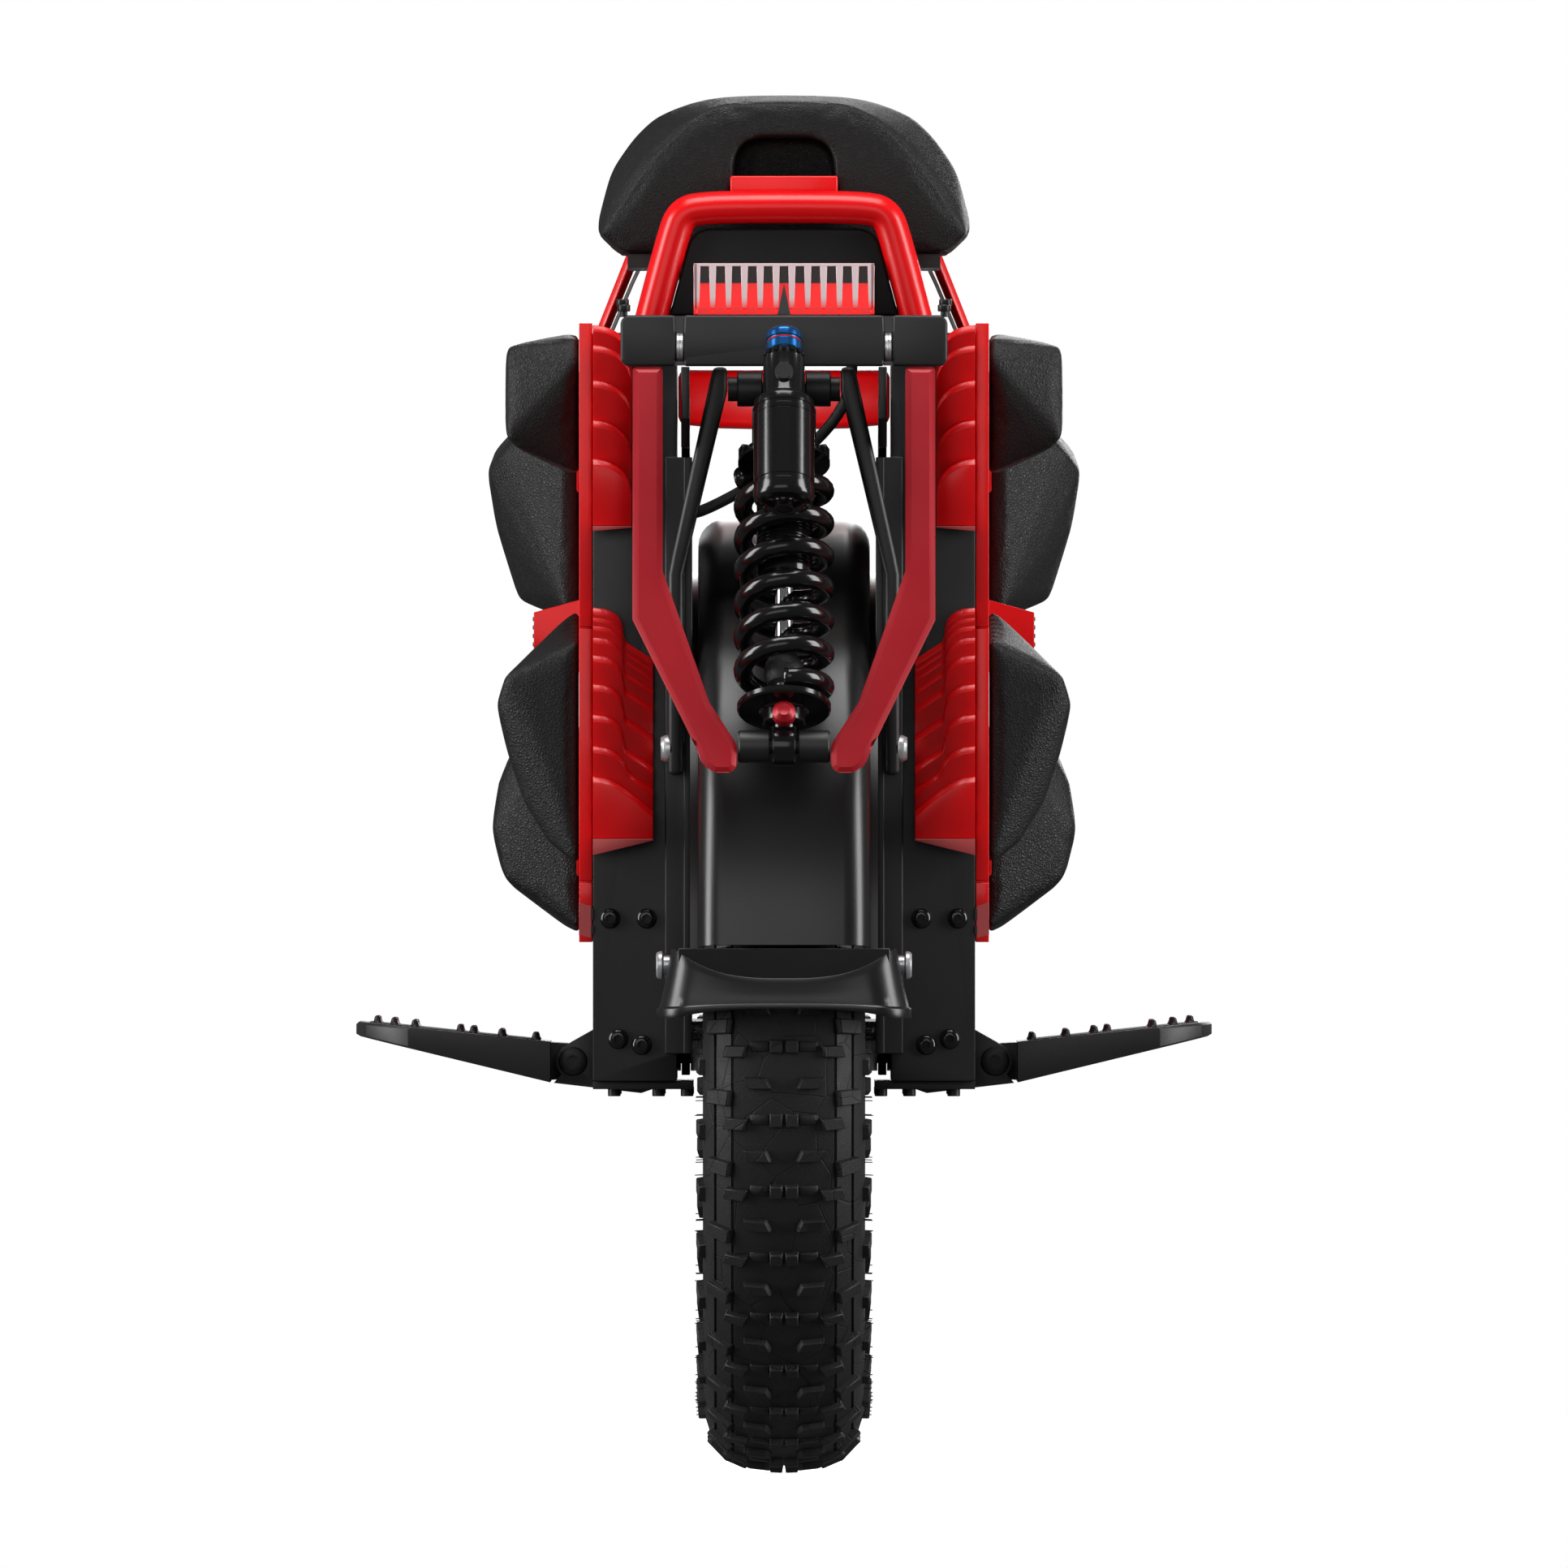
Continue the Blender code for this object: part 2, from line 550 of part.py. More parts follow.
def make_case(side, sign):
    outline = [(REAR, CASE_BOTTOM), (CASE_HALF_DEPTH - 0.020, CASE_BOTTOM),
               (CASE_HALF_DEPTH, CASE_BOTTOM + 0.030), (CASE_HALF_DEPTH, CASE_TOP), (REAR, CASE_TOP)]
    case = node("side_case_" + side, mirrored(prism(outline, "X", CASE_X, CASE_OUT_X), sign), "satin_black")
    rail = box(RAIL_X, RAIL_X + 0.0044, REAR - 0.0065, REAR + 0.001, AXLE_Z - 0.004,
               CROSSBEAM_Z - 0.048)
    web = box(RAIL_X + 0.003, CASE_X + 0.006, REAR - 0.0055, REAR + 0.002, AXLE_Z - 0.004,
              CROSSBEAM_Z - 0.048)
    join(case, mirrored(rail, sign), mirrored(web, sign))
    wall = CASE_WALL
    inside = box(CASE_X + wall, CASE_OUT_X + 0.01, REAR + wall, CASE_HALF_DEPTH - wall,
                 CASE_BOTTOM + 0.034, CASE_TOP - wall)
    slot = box(CASE_X - 0.002, CASE_X + 0.0085, -0.018, 0.018, CASE_BOTTOM - 0.002,
               AXLE_Z + TRAVEL + NUT_RADIUS + 0.003)
    cut(case, mirrored(inside, sign), mirrored(slot, sign))
    pack = box(CASE_X + wall + 0.002, CASE_OUT_X - 0.002, REAR + 0.016, CASE_HALF_DEPTH - 0.016,
               AXLE_Z + TRAVEL + 0.030, CASE_TOP - 0.016)
    node("battery_pack_" + side, mirrored(pack, sign), "pack_wrap")


def make_side_panel(side, sign):
    outline = [(REAR, PANEL_BOTTOM), (CASE_HALF_DEPTH - 0.030, PANEL_BOTTOM),
               (CASE_HALF_DEPTH, PANEL_BOTTOM + 0.040), (CASE_HALF_DEPTH, PANEL_TOP - 0.030),
               (CASE_HALF_DEPTH - 0.030, PANEL_TOP), (REAR, PANEL_TOP)]
    panel = node("side_panel_" + side, mirrored(prism(outline, "X", PANEL_X, PANEL_OUT_X), sign),
                 "panel_red")
    middle = (PANEL_BOTTOM + PANEL_TOP) / 2 - 0.0015
    vent = [(PANEL_OUT_X - 0.003, middle - 0.020), (PANEL_OUT_X + VENT_BULGE, middle - 0.0125),
            (PANEL_OUT_X + VENT_BULGE, middle + 0.0125), (PANEL_OUT_X - 0.003, middle + 0.020)]
    join(panel, mirrored(prism(vent, "Y", -0.055, 0.055), sign))


def make_gills(side, sign):
    """Finned covers on the rear face of a case, with blades that overlap like scales."""
    upper = (CASE_X + 0.0238, CASE_TOP - 0.1053, CASE_TOP + 0.005, 5)
    lower = (CASE_X + 0.0125, PANEL_BOTTOM + 0.046, PANEL_BOTTOM + 0.1836, 7)
    for place, (x0, low, top, blades) in (("upper", upper), ("lower", lower)):
        inner_y, outer_y = REAR - GAP, REAR - 0.016
        pitch = (top - low) / (blades + 1)
        outline = [(inner_y, low), (outer_y + 0.004, low)]
        for blade in reversed(range(blades)):
            z = top - pitch * blade
            outline += [(outer_y, z - 0.004), (outer_y + 0.002, z), (outer_y + 0.009, z + 0.0005)]
        outline.append((inner_y, top + 0.0005))
        bm = prism(outline, "X", x0, CASE_OUT_X - 0.0017)
        node("gill_cover_%s_%s" % (place, side), mirrored(bm, sign), "panel_red")


def make_pads(side, sign):
    """Leg pads on the side panel. Each has a foot on the panel and a smaller outer face."""
    x = PANEL_OUT_X + GAP
    top, low = PANEL_TOP, PANEL_BOTTOM
    rear, front = REAR + 0.006, CASE_HALF_DEPTH - 0.006
    pads = {
        "upper_rear": [(0, rear + 0.010, top - 0.0072), (0, rear, top - 0.018), (0, rear + 0.012, top - 0.080),
                       (0, rear + 0.072, top - 0.005), (0, rear + 0.072, top - 0.080),
                       (0.0386, rear + 0.016, top - 0.0125), (0.0386, rear + 0.002, top - 0.060),
                       (0.0330, rear + 0.004, top - 0.066), (0.0340, rear + 0.058, top - 0.014),
                       (0.0340, rear + 0.058, top - 0.062)],
        "upper_front": [(0, front, top - 0.030), (0, front - 0.085, top - 0.020), (0, front, top - 0.150),
                        (0, front - 0.080, top - 0.158), (0.0070, front - 0.085, top - 0.075),
                        (0.0070, front - 0.082, top - 0.150), (0.0450, front - 0.005, top - 0.066),
                        (0.0486, front - 0.012, top - 0.077), (0.0486, front - 0.045, top - 0.077),
                        (0.0438, front - 0.040, top - 0.108), (0.0315, front - 0.014, top - 0.146),
                        (0.0315, front - 0.040, top - 0.146), (0.0420, front - 0.055, top - 0.068)],
        "lower_rear": [(0, rear - 0.004, low + 0.160), (0, rear + 0.066, low + 0.178),
                       (0, rear - 0.004, low + 0.040), (0, rear + 0.050, low + 0.046),
                       (0.0385, rear, low + 0.141), (0.0430, rear + 0.006, low + 0.126),
                       (0.0365, rear + 0.010, low + 0.098), (0.0290, rear + 0.010, low + 0.075),
                       (0.0160, rear + 0.006, low + 0.053), (0.0420, rear + 0.044, low + 0.126),
                       (0.0250, rear + 0.040, low + 0.070), (0.0220, rear + 0.058, low + 0.156)],
        "lower_front": [(0, front, low + 0.110), (0, front - 0.080, low + 0.118),
                        (0, front - 0.020, low + 0.003), (0, front - 0.070, low + 0.005),
                        (0.0365, front - 0.004, low + 0.101), (0.0430, front - 0.046, low + 0.085),
                        (0.0464, front - 0.010, low + 0.060), (0.0464, front - 0.050, low + 0.060),
                        (0.0397, front - 0.018, low + 0.033), (0.0397, front - 0.052, low + 0.033),
                        (0.0340, front - 0.054, low + 0.102), (0.0160, front - 0.062, low + 0.018)],
    }
    for place, points in pads.items():
        solid = hull([(x + out, y, z) for out, y, z in points])
        node("pad_%s_%s" % (place, side), mirrored(solid, sign), "leather")


def make_deck():
    """Channel that joins the two cases and carries the seat, with the controller hung inside."""
    out, wall, base = CASE_X + 0.0092, 0.006, CASE_TOP + GAP
    half = [(out - wall, base), (out, base), (out, DECK_TOP)]
    outline = half + [(-x, z) for x, z in reversed(half)]
    outline += [(wall - out, DECK_TOP - 0.0047), (out - wall, DECK_TOP - 0.0047)]
    deck = node("chassis_deck", prism(outline, "Y", -0.118, 0.118), "satin_black")
    button = (0, 0.060, CASE_TOP + 0.016)
    cut(deck, rod(button, (1, 0, 0), 0.0064, out - 0.012, out + 0.004))
    profile = [(0.0060, out - 0.0045), (0.0060, out + 0.0030), (0.0050, out + 0.0036)]
    push = pivot("power_button_slide", button)
    node("power_button", turned(profile, button, (1, 0, 0), 16), "steel", push, smooth=True)
    fins, half = 8, []
    low, root, wide = CASE_TOP - 0.014, CASE_TOP - 0.004, CASE_X - 0.0098
    for fin in range(fins):
        x = wide * (fin + 0.25) / fins
        half += [(x, root), (x, low), (x + wide * 0.5 / fins, low), (x + wide * 0.5 / fins, root)]
    half += [(wide, root), (wide, DECK_TOP - 0.0050)]
    node("controller", prism(both_sides(half), "Y", -0.090, 0.090), "dark_metal")


def hoop_outlines(grow=0.0):
    """Outer and inner half outlines of the rear hoop, from the case up."""
    leg, low = CASE_X + 0.0247, CASE_TOP + GAP
    outer = [(leg, low), (leg - 0.0145, low + 0.058), (leg - 0.0205, low + 0.068),
             (leg - 0.0310, low + 0.0738), (0.0, low + 0.0755)]
    inner = [(leg - 0.0165 - grow, low), (leg - 0.0300 - grow, low + 0.0487 - grow),
             (leg - 0.0340 - grow, low + 0.0543 - grow), (leg - 0.0400 - grow, low + 0.0562 - grow),
             (0.0, low + 0.0575 - grow)]
    return outer, inner


def make_hoops():
    outer, inner = hoop_outlines()
    outline = outer[:-1] + [(-x, z) for x, z in reversed(outer)]
    outline += [(-x, z) for x, z in inner[:-1]] + list(reversed(inner))
    hoop = node("rear_hoop", prism(outline, "Y", REAR + 0.002, REAR + 0.002 + HOOP_DEPTH), "panel_red")
    soften(hoop, 0.004, 2)
    leg, low = CASE_OUT_X, CASE_TOP + GAP
    top = SEAT_TOP - 0.034
    outer = [(leg, low), (leg - 0.0165, low + 0.0417), (leg - 0.0390, top - 0.008), (leg - 0.0520, top)]
    inner = [(leg - 0.0070, low), (leg - 0.0240, low + 0.0417), (leg - 0.0460, top - 0.014),
             (leg - 0.0540, top - 0.010)]
    outline = outer + [(-x, z) for x, z in reversed(outer)] + [(-x, z) for x, z in inner] + inner[::-1]
    hoop = node("front_hoop", prism(outline, "Y", 0.119, 0.119 + HOOP_DEPTH), "panel_red")
    soften(hoop, 0.003)
    wide, base = CASE_X - GAP, CROSSBEAM_Z - 0.032
    half = [(wide, base + 0.003), (wide, base + 0.032)]
    half = [(0.0, base), (wide * 0.6, base + 0.0008)] + half
    outline = half[1:] + [(-x, z) for x, z in reversed(half[1:])] + [(0.0, base)]
    brace = node("front_brace", prism(outline, "Y", 0.118, CASE_HALF_DEPTH - 0.004), "panel_red")
    soften(brace, 0.004, 2)


def make_lights():
    """Tail light inside the rear hoop, and a head light at the front."""
    inner = hoop_outlines(0.0012)[1]
    low = CASE_TOP + 0.009
    half = [(inner[0][0] - 0.003, low)] + inner[1:4]
    back, front = REAR + 0.010, -0.1183
    node("taillight_housing", prism(both_sides(half), "Y", back, front), "gloss_black")
    wide = CASE_X - 0.0089
    lens = box(-wide, wide, back - 0.006, back - GAP, low + 0.0006, low + 0.0278)
    node("taillight_lens", lens, "lens_red")
    front = 0.1183
    shell = box(-0.040, 0.040, front, front + 0.030, low, low + 0.030)
    node("headlight_housing", shell, "gloss_black")
    glass = box(-0.036, 0.036, front + 0.030 + GAP, front + 0.034, low + 0.003, low + 0.027)
    node("headlight_lens", glass, "lens_clear")


SEAT_HALF = [(0.0888, 0.0), (0.0996, 0.0104), (0.0957, 0.0256), (0.0914, 0.0416), (0.0849, 0.0516),
             (0.0762, 0.0626), (0.0642, 0.0726), (0.0387, 0.0815), (0.0, 0.0830)]
SEAT_END_HALF = [(0.0860, 0.0), (0.0970, 0.0095), (0.0775, 0.0400), (0.0508, 0.0713), (0.0287, 0.0780),
                 (0.0, 0.0790)]


def make_seat():
    """Cushion on a pan. Its ends are the smaller outline and its middle the full one."""
    stretch = SEAT_HEIGHT / 0.083
    spread = (CASE_OUT_X - 0.1013) * 0.8
    points = []
    for y, half in ((-0.1175, SEAT_END_HALF), (-0.090, SEAT_HALF), (0.060, SEAT_HALF),
                    (0.112, SEAT_END_HALF)):
        for x, z in half:
            for sign in (-1, 1):
                points.append((sign * (x + (spread if x else 0)), y, SEAT_BOTTOM + z * stretch))
    cushion = node("seat_cushion", hull(points), "leather")
    rise = SEAT_BOTTOM + 0.034
    recess = [(0.0274, rise), (0.0274, rise + 0.017), (0.019, rise + 0.027)]
    cut(cushion, prism(both_sides(recess), "Y", -0.130, -0.092))
    pan = box(-0.083, 0.083, -0.110, 0.108, DECK_TOP + GAP, SEAT_BOTTOM - GAP)
    node("seat_pan", pan, "satin_black")


def make_cable():
    """Motor cable from the left case up behind the shock to the controller."""
    y = REAR + 0.008
    wall = CASE_X - 0.0006
    points = [Vector((-wall, y, FENDER_TOP + 0.0030)), Vector((0.0122 - wall, y, FENDER_TOP + 0.0035)),
              Vector((-0.016, y, FENDER_TOP + 0.018)), Vector((0.016, y, FENDER_TOP + 0.040)),
              Vector((0.034, y + 0.006, FENDER_TOP + 0.066)), Vector((0.036, y + 0.025, CASE_TOP + 0.002)),
              Vector((0.036, -0.0904, CASE_TOP + 0.004))]
    tube("motor_cable", smooth_route(points, 4), 0.003, 2, "rubber")


# ---------------------------------------------------------------- pedals

def pedal_top(dx):
    return 0.0096 + 0.1048 * (dx - 0.0035)


def pedal_bottom(dx):
    return -0.0115 + 0.2417 * (dx - 0.0102)


def pedal_section(y):
    """Side outline of the pedal at one place along it, shorter near the rounded corners."""
    straight = PEDAL_HALF_LENGTH - PEDAL_CORNER
    past = max(0.0, abs(y) - straight)
    tip = PEDAL_REACH - PEDAL_CORNER + math.sqrt(PEDAL_CORNER ** 2 - past ** 2)
    root = BOSS_RADIUS + 0.0027
    points = [(root, pedal_bottom(root)), (tip - 0.0023, pedal_bottom(tip - 0.0023)),
              (tip, pedal_bottom(tip) + 0.0008), (tip, pedal_top(tip) - 0.0015),
              (tip - 0.0015, pedal_top(tip - 0.0015)), (root, pedal_top(root))]
    return [(PEDAL_X + dx, y, PEDAL_Z + dz) for dx, dz in points]


def make_pedal(side, sign):
    straight = PEDAL_HALF_LENGTH - PEDAL_CORNER
    bend = [straight + PEDAL_CORNER * math.sin(math.radians(a)) for a in (30, 52, 72)]
    places = [-y for y in reversed(bend)] + [-straight, straight] + bend
    hinge = pivot("pedal_%s_hinge" % side, (sign * PEDAL_X, 0, PEDAL_Z))
    pedal = node("pedal_" + side, mirrored(loft([pedal_section(y) for y in places]), sign),
                 "dark_metal", hinge)
    root = BOSS_RADIUS + 0.0047
    link = prism([(PEDAL_X, PEDAL_Z - BOSS_RADIUS), (PEDAL_X + root, PEDAL_Z + pedal_bottom(root) + 0.0005),
                  (PEDAL_X + root, PEDAL_Z + pedal_top(root) - 0.0005),
                  (PEDAL_X, PEDAL_Z + BOSS_RADIUS)], "Y", -BOSS_HALF_LENGTH, BOSS_HALF_LENGTH)
    centre = (sign * PEDAL_X, 0, PEDAL_Z)
    barrel = rod(centre, (0, 1, 0), BOSS_RADIUS, -BOSS_HALF_LENGTH, BOSS_HALF_LENGTH)
    join(pedal, mirrored(link, sign), barrel)
    cut(pedal, rod(centre, (0, 1, 0), PEDAL_PIN_RADIUS + GAP, -0.08, 0.08, 12))


def make_pedal_hanger(side, sign):
    """Base plate under the case with a ledge and two hinge lugs, and the pin between them."""
    base = box(FENDER_X + 0.0026, CASE_OUT_X, REAR + 0.010, CASE_HALF_DEPTH - 0.024,
               CASE_BOTTOM - 0.0045, CASE_BOTTOM - GAP)
    hanger = node("pedal_hanger_" + side, mirrored(base, sign), "satin_black")
    lug_in = BOSS_HALF_LENGTH + 0.002
    lug_out = lug_in + LUG_THICKNESS
    under = CASE_BOTTOM - 0.0069
    ledge = [(CASE_X + 0.0108, CASE_BOTTOM - 0.0040), (CASE_X + 0.019, under),
             (PEDAL_X + 0.0102, PEDAL_Z - 0.0115), (PEDAL_X + 0.008, PEDAL_Z - 0.0100),
             (CASE_OUT_X, CASE_BOTTOM - 0.0020)]
    start, end, steps = math.radians(68), math.radians(-48), 6
    arc = [start + (end - start) * i / steps for i in range(steps + 1)]
    ear = [(CASE_OUT_X + GAP, PEDAL_Z + 0.0165)]
    ear += [(PEDAL_X + BOSS_RADIUS * math.cos(a), PEDAL_Z + BOSS_RADIUS * math.sin(a)) for a in arc]
    ear += [(PEDAL_X + 0.0098, PEDAL_Z - 0.0110), (CASE_OUT_X + GAP, CASE_BOTTOM - 0.0035)]
    join(hanger, mirrored(prism(ledge, "Y", -lug_out, lug_out), sign),
         mirrored(prism(ear, "Y", lug_in, lug_out), sign),
         mirrored(prism(ear, "Y", -lug_out, -lug_in), sign))
    join(hanger, rod((sign * PEDAL_X, 0, PEDAL_Z), (0, 1, 0), PEDAL_PIN_RADIUS, -lug_in - 0.004,
                     lug_in + 0.004, 12))


# ---------------------------------------------------------------- knobs

def make_knobs(shock, shaft):
    top = pivot("damper_knob_axis", RESERVOIR_TOP, shock)
    profile = [(0.0080, -0.0115), (0.0095, -0.0100), (0.0095, -0.0060), (0.0087, -0.0055),
               (0.0087, -0.0045), (0.0095, -0.0040), (0.0095, 0.0012)]
    node("damper_knob", turned(profile, RESERVOIR_TOP, DOWN, 18), "blue", top, smooth=True)
    place = along(SHOCK_LENGTH - 0.0120)
    axis = pivot("rebound_knob_axis", place, shaft)
    profile = [(0.0052, 0.0118), (0.0062, 0.0128), (0.0062, 0.0180), (0.0042, 0.0210)]
    node("rebound_knob", turned(profile, place, BEHIND, 8), "crimson", axis)


# ---------------------------------------------------------------- assembly

def build():
    clear_scene()
    carriage = pivot("carriage_slide", (0, 0, AXLE_Z))
    wheel = pivot("wheel_axis", (0, 0, AXLE_Z), carriage)
    shock = pivot("upper_eye_pivot", UPPER_EYE)
    shaft = pivot("shaft_slide", LOWER_EYE, shock)
    collar = pivot("collar_axis", along(COLLAR_END), shock)
    make_tyre(wheel)
    make_rim(wheel)
    make_axle(carriage)
    make_fork_legs(carriage)
    make_crossbeam(carriage)
    make_link_arms(carriage)
    make_lower_pin(carriage)
    make_fender(carriage)
    make_damper(shock)
    make_reservoir(shock)
    make_spring(shock)
    make_collar(collar)
    make_shaft(shaft)
    make_knobs(shock, shaft)
    make_upper_pin(None)
    make_shock_arms(None)
    for side, sign in (("left", -1), ("right", 1)):
        make_case(side, sign)
        make_side_panel(side, sign)
        make_gills(side, sign)
        make_pads(side, sign)
        make_pedal(side, sign)
        make_pedal_hanger(side, sign)
    make_deck()
    make_hoops()
    make_lights()
    make_seat()
    make_cable()


build()
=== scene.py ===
# %% [markdown]
# # An electric unicycle, piece by piece
# The frame holds every rigid part at its true size. This notebook dresses it: smoother shells,
# a knobbly tyre, padded leather and painted metal. Each piece starts from Blender's own tools.

# %% Load the frame
import json
import math

import bpy
from mathutils import Matrix, Vector

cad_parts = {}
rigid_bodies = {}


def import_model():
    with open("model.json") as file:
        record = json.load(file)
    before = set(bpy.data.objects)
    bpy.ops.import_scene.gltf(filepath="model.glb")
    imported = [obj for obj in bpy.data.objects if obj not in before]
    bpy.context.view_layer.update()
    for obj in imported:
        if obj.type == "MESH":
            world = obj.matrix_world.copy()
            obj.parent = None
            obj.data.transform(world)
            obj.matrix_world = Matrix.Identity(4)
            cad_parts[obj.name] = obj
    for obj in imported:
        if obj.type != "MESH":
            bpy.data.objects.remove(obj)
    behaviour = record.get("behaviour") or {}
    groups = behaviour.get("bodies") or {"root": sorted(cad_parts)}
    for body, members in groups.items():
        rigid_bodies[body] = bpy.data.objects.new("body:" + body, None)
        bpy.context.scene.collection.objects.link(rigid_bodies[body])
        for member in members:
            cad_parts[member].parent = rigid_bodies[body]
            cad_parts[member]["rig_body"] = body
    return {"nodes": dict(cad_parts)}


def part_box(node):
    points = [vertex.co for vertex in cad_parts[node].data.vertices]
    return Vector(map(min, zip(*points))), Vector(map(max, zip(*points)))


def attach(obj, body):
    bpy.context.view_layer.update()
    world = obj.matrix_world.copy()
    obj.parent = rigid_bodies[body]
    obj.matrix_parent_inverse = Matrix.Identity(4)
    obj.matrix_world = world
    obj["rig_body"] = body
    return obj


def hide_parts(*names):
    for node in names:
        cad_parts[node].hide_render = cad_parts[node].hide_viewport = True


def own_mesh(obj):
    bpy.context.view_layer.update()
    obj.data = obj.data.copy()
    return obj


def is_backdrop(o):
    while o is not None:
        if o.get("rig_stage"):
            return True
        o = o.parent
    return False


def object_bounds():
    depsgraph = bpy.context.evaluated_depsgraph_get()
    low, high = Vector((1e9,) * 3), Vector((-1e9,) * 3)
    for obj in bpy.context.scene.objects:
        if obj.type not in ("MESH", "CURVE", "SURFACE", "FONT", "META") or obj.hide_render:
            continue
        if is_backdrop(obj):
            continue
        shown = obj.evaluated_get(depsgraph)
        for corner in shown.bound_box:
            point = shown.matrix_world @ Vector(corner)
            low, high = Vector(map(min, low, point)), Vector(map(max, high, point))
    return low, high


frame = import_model()
cad_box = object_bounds()
nodes = frame["nodes"]

# %% [markdown]
# Places are read from the frame, so that a changed size moves everything with it. The axle is the
# middle of the tyre, and the shock's axis runs from its upper eye to its lower eye.

# %% Places
def corners(node):
    """Lowest and highest corner of a frame node."""
    low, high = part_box(node)
    return Vector(low), Vector(high)


def middle(node):
    low, high = corners(node)
    return (low + high) / 2


AXLE = middle("tyre")
TYRE_LOW, TYRE_HIGH = corners("tyre")
TYRE_R = (TYRE_HIGH.z - TYRE_LOW.z) / 2
UPPER_EYE = middle("upper_shock_pin")
LOWER_EYE = middle("lower_shock_pin")
DOWN = (LOWER_EYE - UPPER_EYE).normalized()
BEHIND = Vector((0.0, DOWN.z, -DOWN.y))
SIDES = (("left", -1), ("right", 1))
print("axle at", tuple(round(v, 4) for v in AXLE), "tyre radius", round(TYRE_R, 4))

# %% [markdown]
# Every operator works on what is selected, so the first helpers only pick things. `settle` bakes an
# object's place into its mesh and names it, which keeps patterns in object coordinates steady.

# %% Picking and settling
def pick(*objs):
    """Select these objects alone, the first one active."""
    if bpy.context.object and bpy.context.object.mode != "OBJECT":
        bpy.ops.object.mode_set(mode="OBJECT")
    bpy.ops.object.select_all(action="DESELECT")
    for obj in objs:
        obj.hide_viewport = False
        obj.select_set(True)
    bpy.context.view_layer.objects.active = objs[0]


def settle(obj, name):
    """Name an object and bake its place, turn and size into its mesh."""
    pick(obj)
    bpy.ops.object.transform_apply(location=True, rotation=True, scale=True)
    obj.name = name
    obj.data.name = name
    return obj


def edit(obj, what="FACE"):
    """Enter edit mode with nothing selected."""
    pick(obj)
    bpy.ops.object.mode_set(mode="EDIT")
    bpy.ops.mesh.select_mode(type=what)
    bpy.ops.mesh.select_all(action="DESELECT")


def done():
    bpy.ops.object.mode_set(mode="OBJECT")


def apply(obj, kind, **settings):
    """Add one modifier and apply it."""
    pick(obj)
    modifier = obj.modifiers.new(kind.lower(), kind)
    for key, value in settings.items():
        setattr(modifier, key, value)
    bpy.ops.object.modifier_apply(modifier=modifier.name)
    return obj


def round_edges(obj, width, segments=3, angle=30):
    """Bevel the sharp edges of a piece and shade it by angle."""
    apply(obj, "BEVEL", width=width, segments=segments, limit_method="ANGLE",
          angle_limit=math.radians(angle), use_clamp_overlap=True)
    pick(obj)
    bpy.ops.object.shade_smooth_by_angle(angle=math.radians(35))
    return obj


def outward(obj):
    """Merge doubles and turn every face outwards."""
    edit(obj, "VERT")
    bpy.ops.mesh.select_all(action="SELECT")
    bpy.ops.mesh.remove_doubles(threshold=0.00001)
    bpy.ops.mesh.normals_make_consistent(inside=False)
    done()
    return obj


def joined(objs, name):
    """Make several shapes one piece."""
    pick(*objs)
    if len(objs) > 1:
        bpy.ops.object.join()
    piece = bpy.context.view_layer.objects.active
    piece.name = name
    piece.data.name = name
    return piece


# %% [markdown]
# Two ways of drawing cover most rigid pieces. A lathe piece is traced as a profile, point by point,
# and spun about its axis. A plate is traced as an outline, filled and extruded.

# %% Drawing from points
def trace(points):
    """Draw a run of points by extruding one vertex from each to the next. Stays in edit mode."""
    bpy.ops.object.select_all(action="DESELECT")
    bpy.ops.mesh.primitive_plane_add(size=0.001, location=(0, 0, 0))
    obj = bpy.context.object
    bpy.ops.object.mode_set(mode="EDIT")
    bpy.ops.mesh.select_mode(type="VERT")
    bpy.ops.mesh.merge(type="CENTER")
    bpy.ops.transform.translate(value=points[0])
    for here, there in zip(points, points[1:]):
        step = Vector(there) - Vector(here)
        bpy.ops.mesh.extrude_vertices_move(TRANSFORM_OT_translate={"value": step})
    bpy.ops.mesh.select_all(action="SELECT")
    return obj


def lathe(name, profile, centre, axis, steps=48, ring=False):
    """Spin (radius, distance) points about an axis through the centre."""
    axis = Vector(axis).normalized()
    side = axis.orthogonal().normalized()
    points = [Vector(centre) + axis * along + side * radius for radius, along in profile]
    if ring:
        points.append(points[0])
    obj = trace(points)
    bpy.ops.mesh.spin(steps=steps, angle=2 * math.pi, center=centre, axis=axis)
    done()
    outward(obj)
    settle(obj, name)
    bpy.ops.object.shade_smooth_by_angle(angle=math.radians(32))
    return obj


def plate(name, outline, thickness):
    """Fill a closed outline of points and extrude it by a vector."""
    obj = trace([Vector(point) for point in outline])
    bpy.ops.mesh.edge_face_add()
    bpy.ops.mesh.extrude_region_move(TRANSFORM_OT_translate={"value": thickness})
    done()
    outward(obj)
    return settle(obj, name)


def block(name, low, high):
    """Box between two corners, from a cube primitive."""
    low, high = Vector(low), Vector(high)
    bpy.ops.object.select_all(action="DESELECT")
    bpy.ops.mesh.primitive_cube_add(size=1, location=(low + high) / 2)
    obj = bpy.context.object
    obj.scale = high - low
    return settle(obj, name)


def side_block(name, sign, near, far, low, high):
    """Block on one side of the machine, between two distances from its middle and two (y, z) corners."""
    x0, x1 = sorted((sign * near, sign * far))
    return block(name, (x0, *low), (x1, *high))


def carve(obj, cutter):
    """Cut a shape out of a piece and throw the cutter away."""
    apply(obj, "BOOLEAN", object=cutter, operation="DIFFERENCE", solver="EXACT")
    bpy.data.objects.remove(cutter)
    return obj


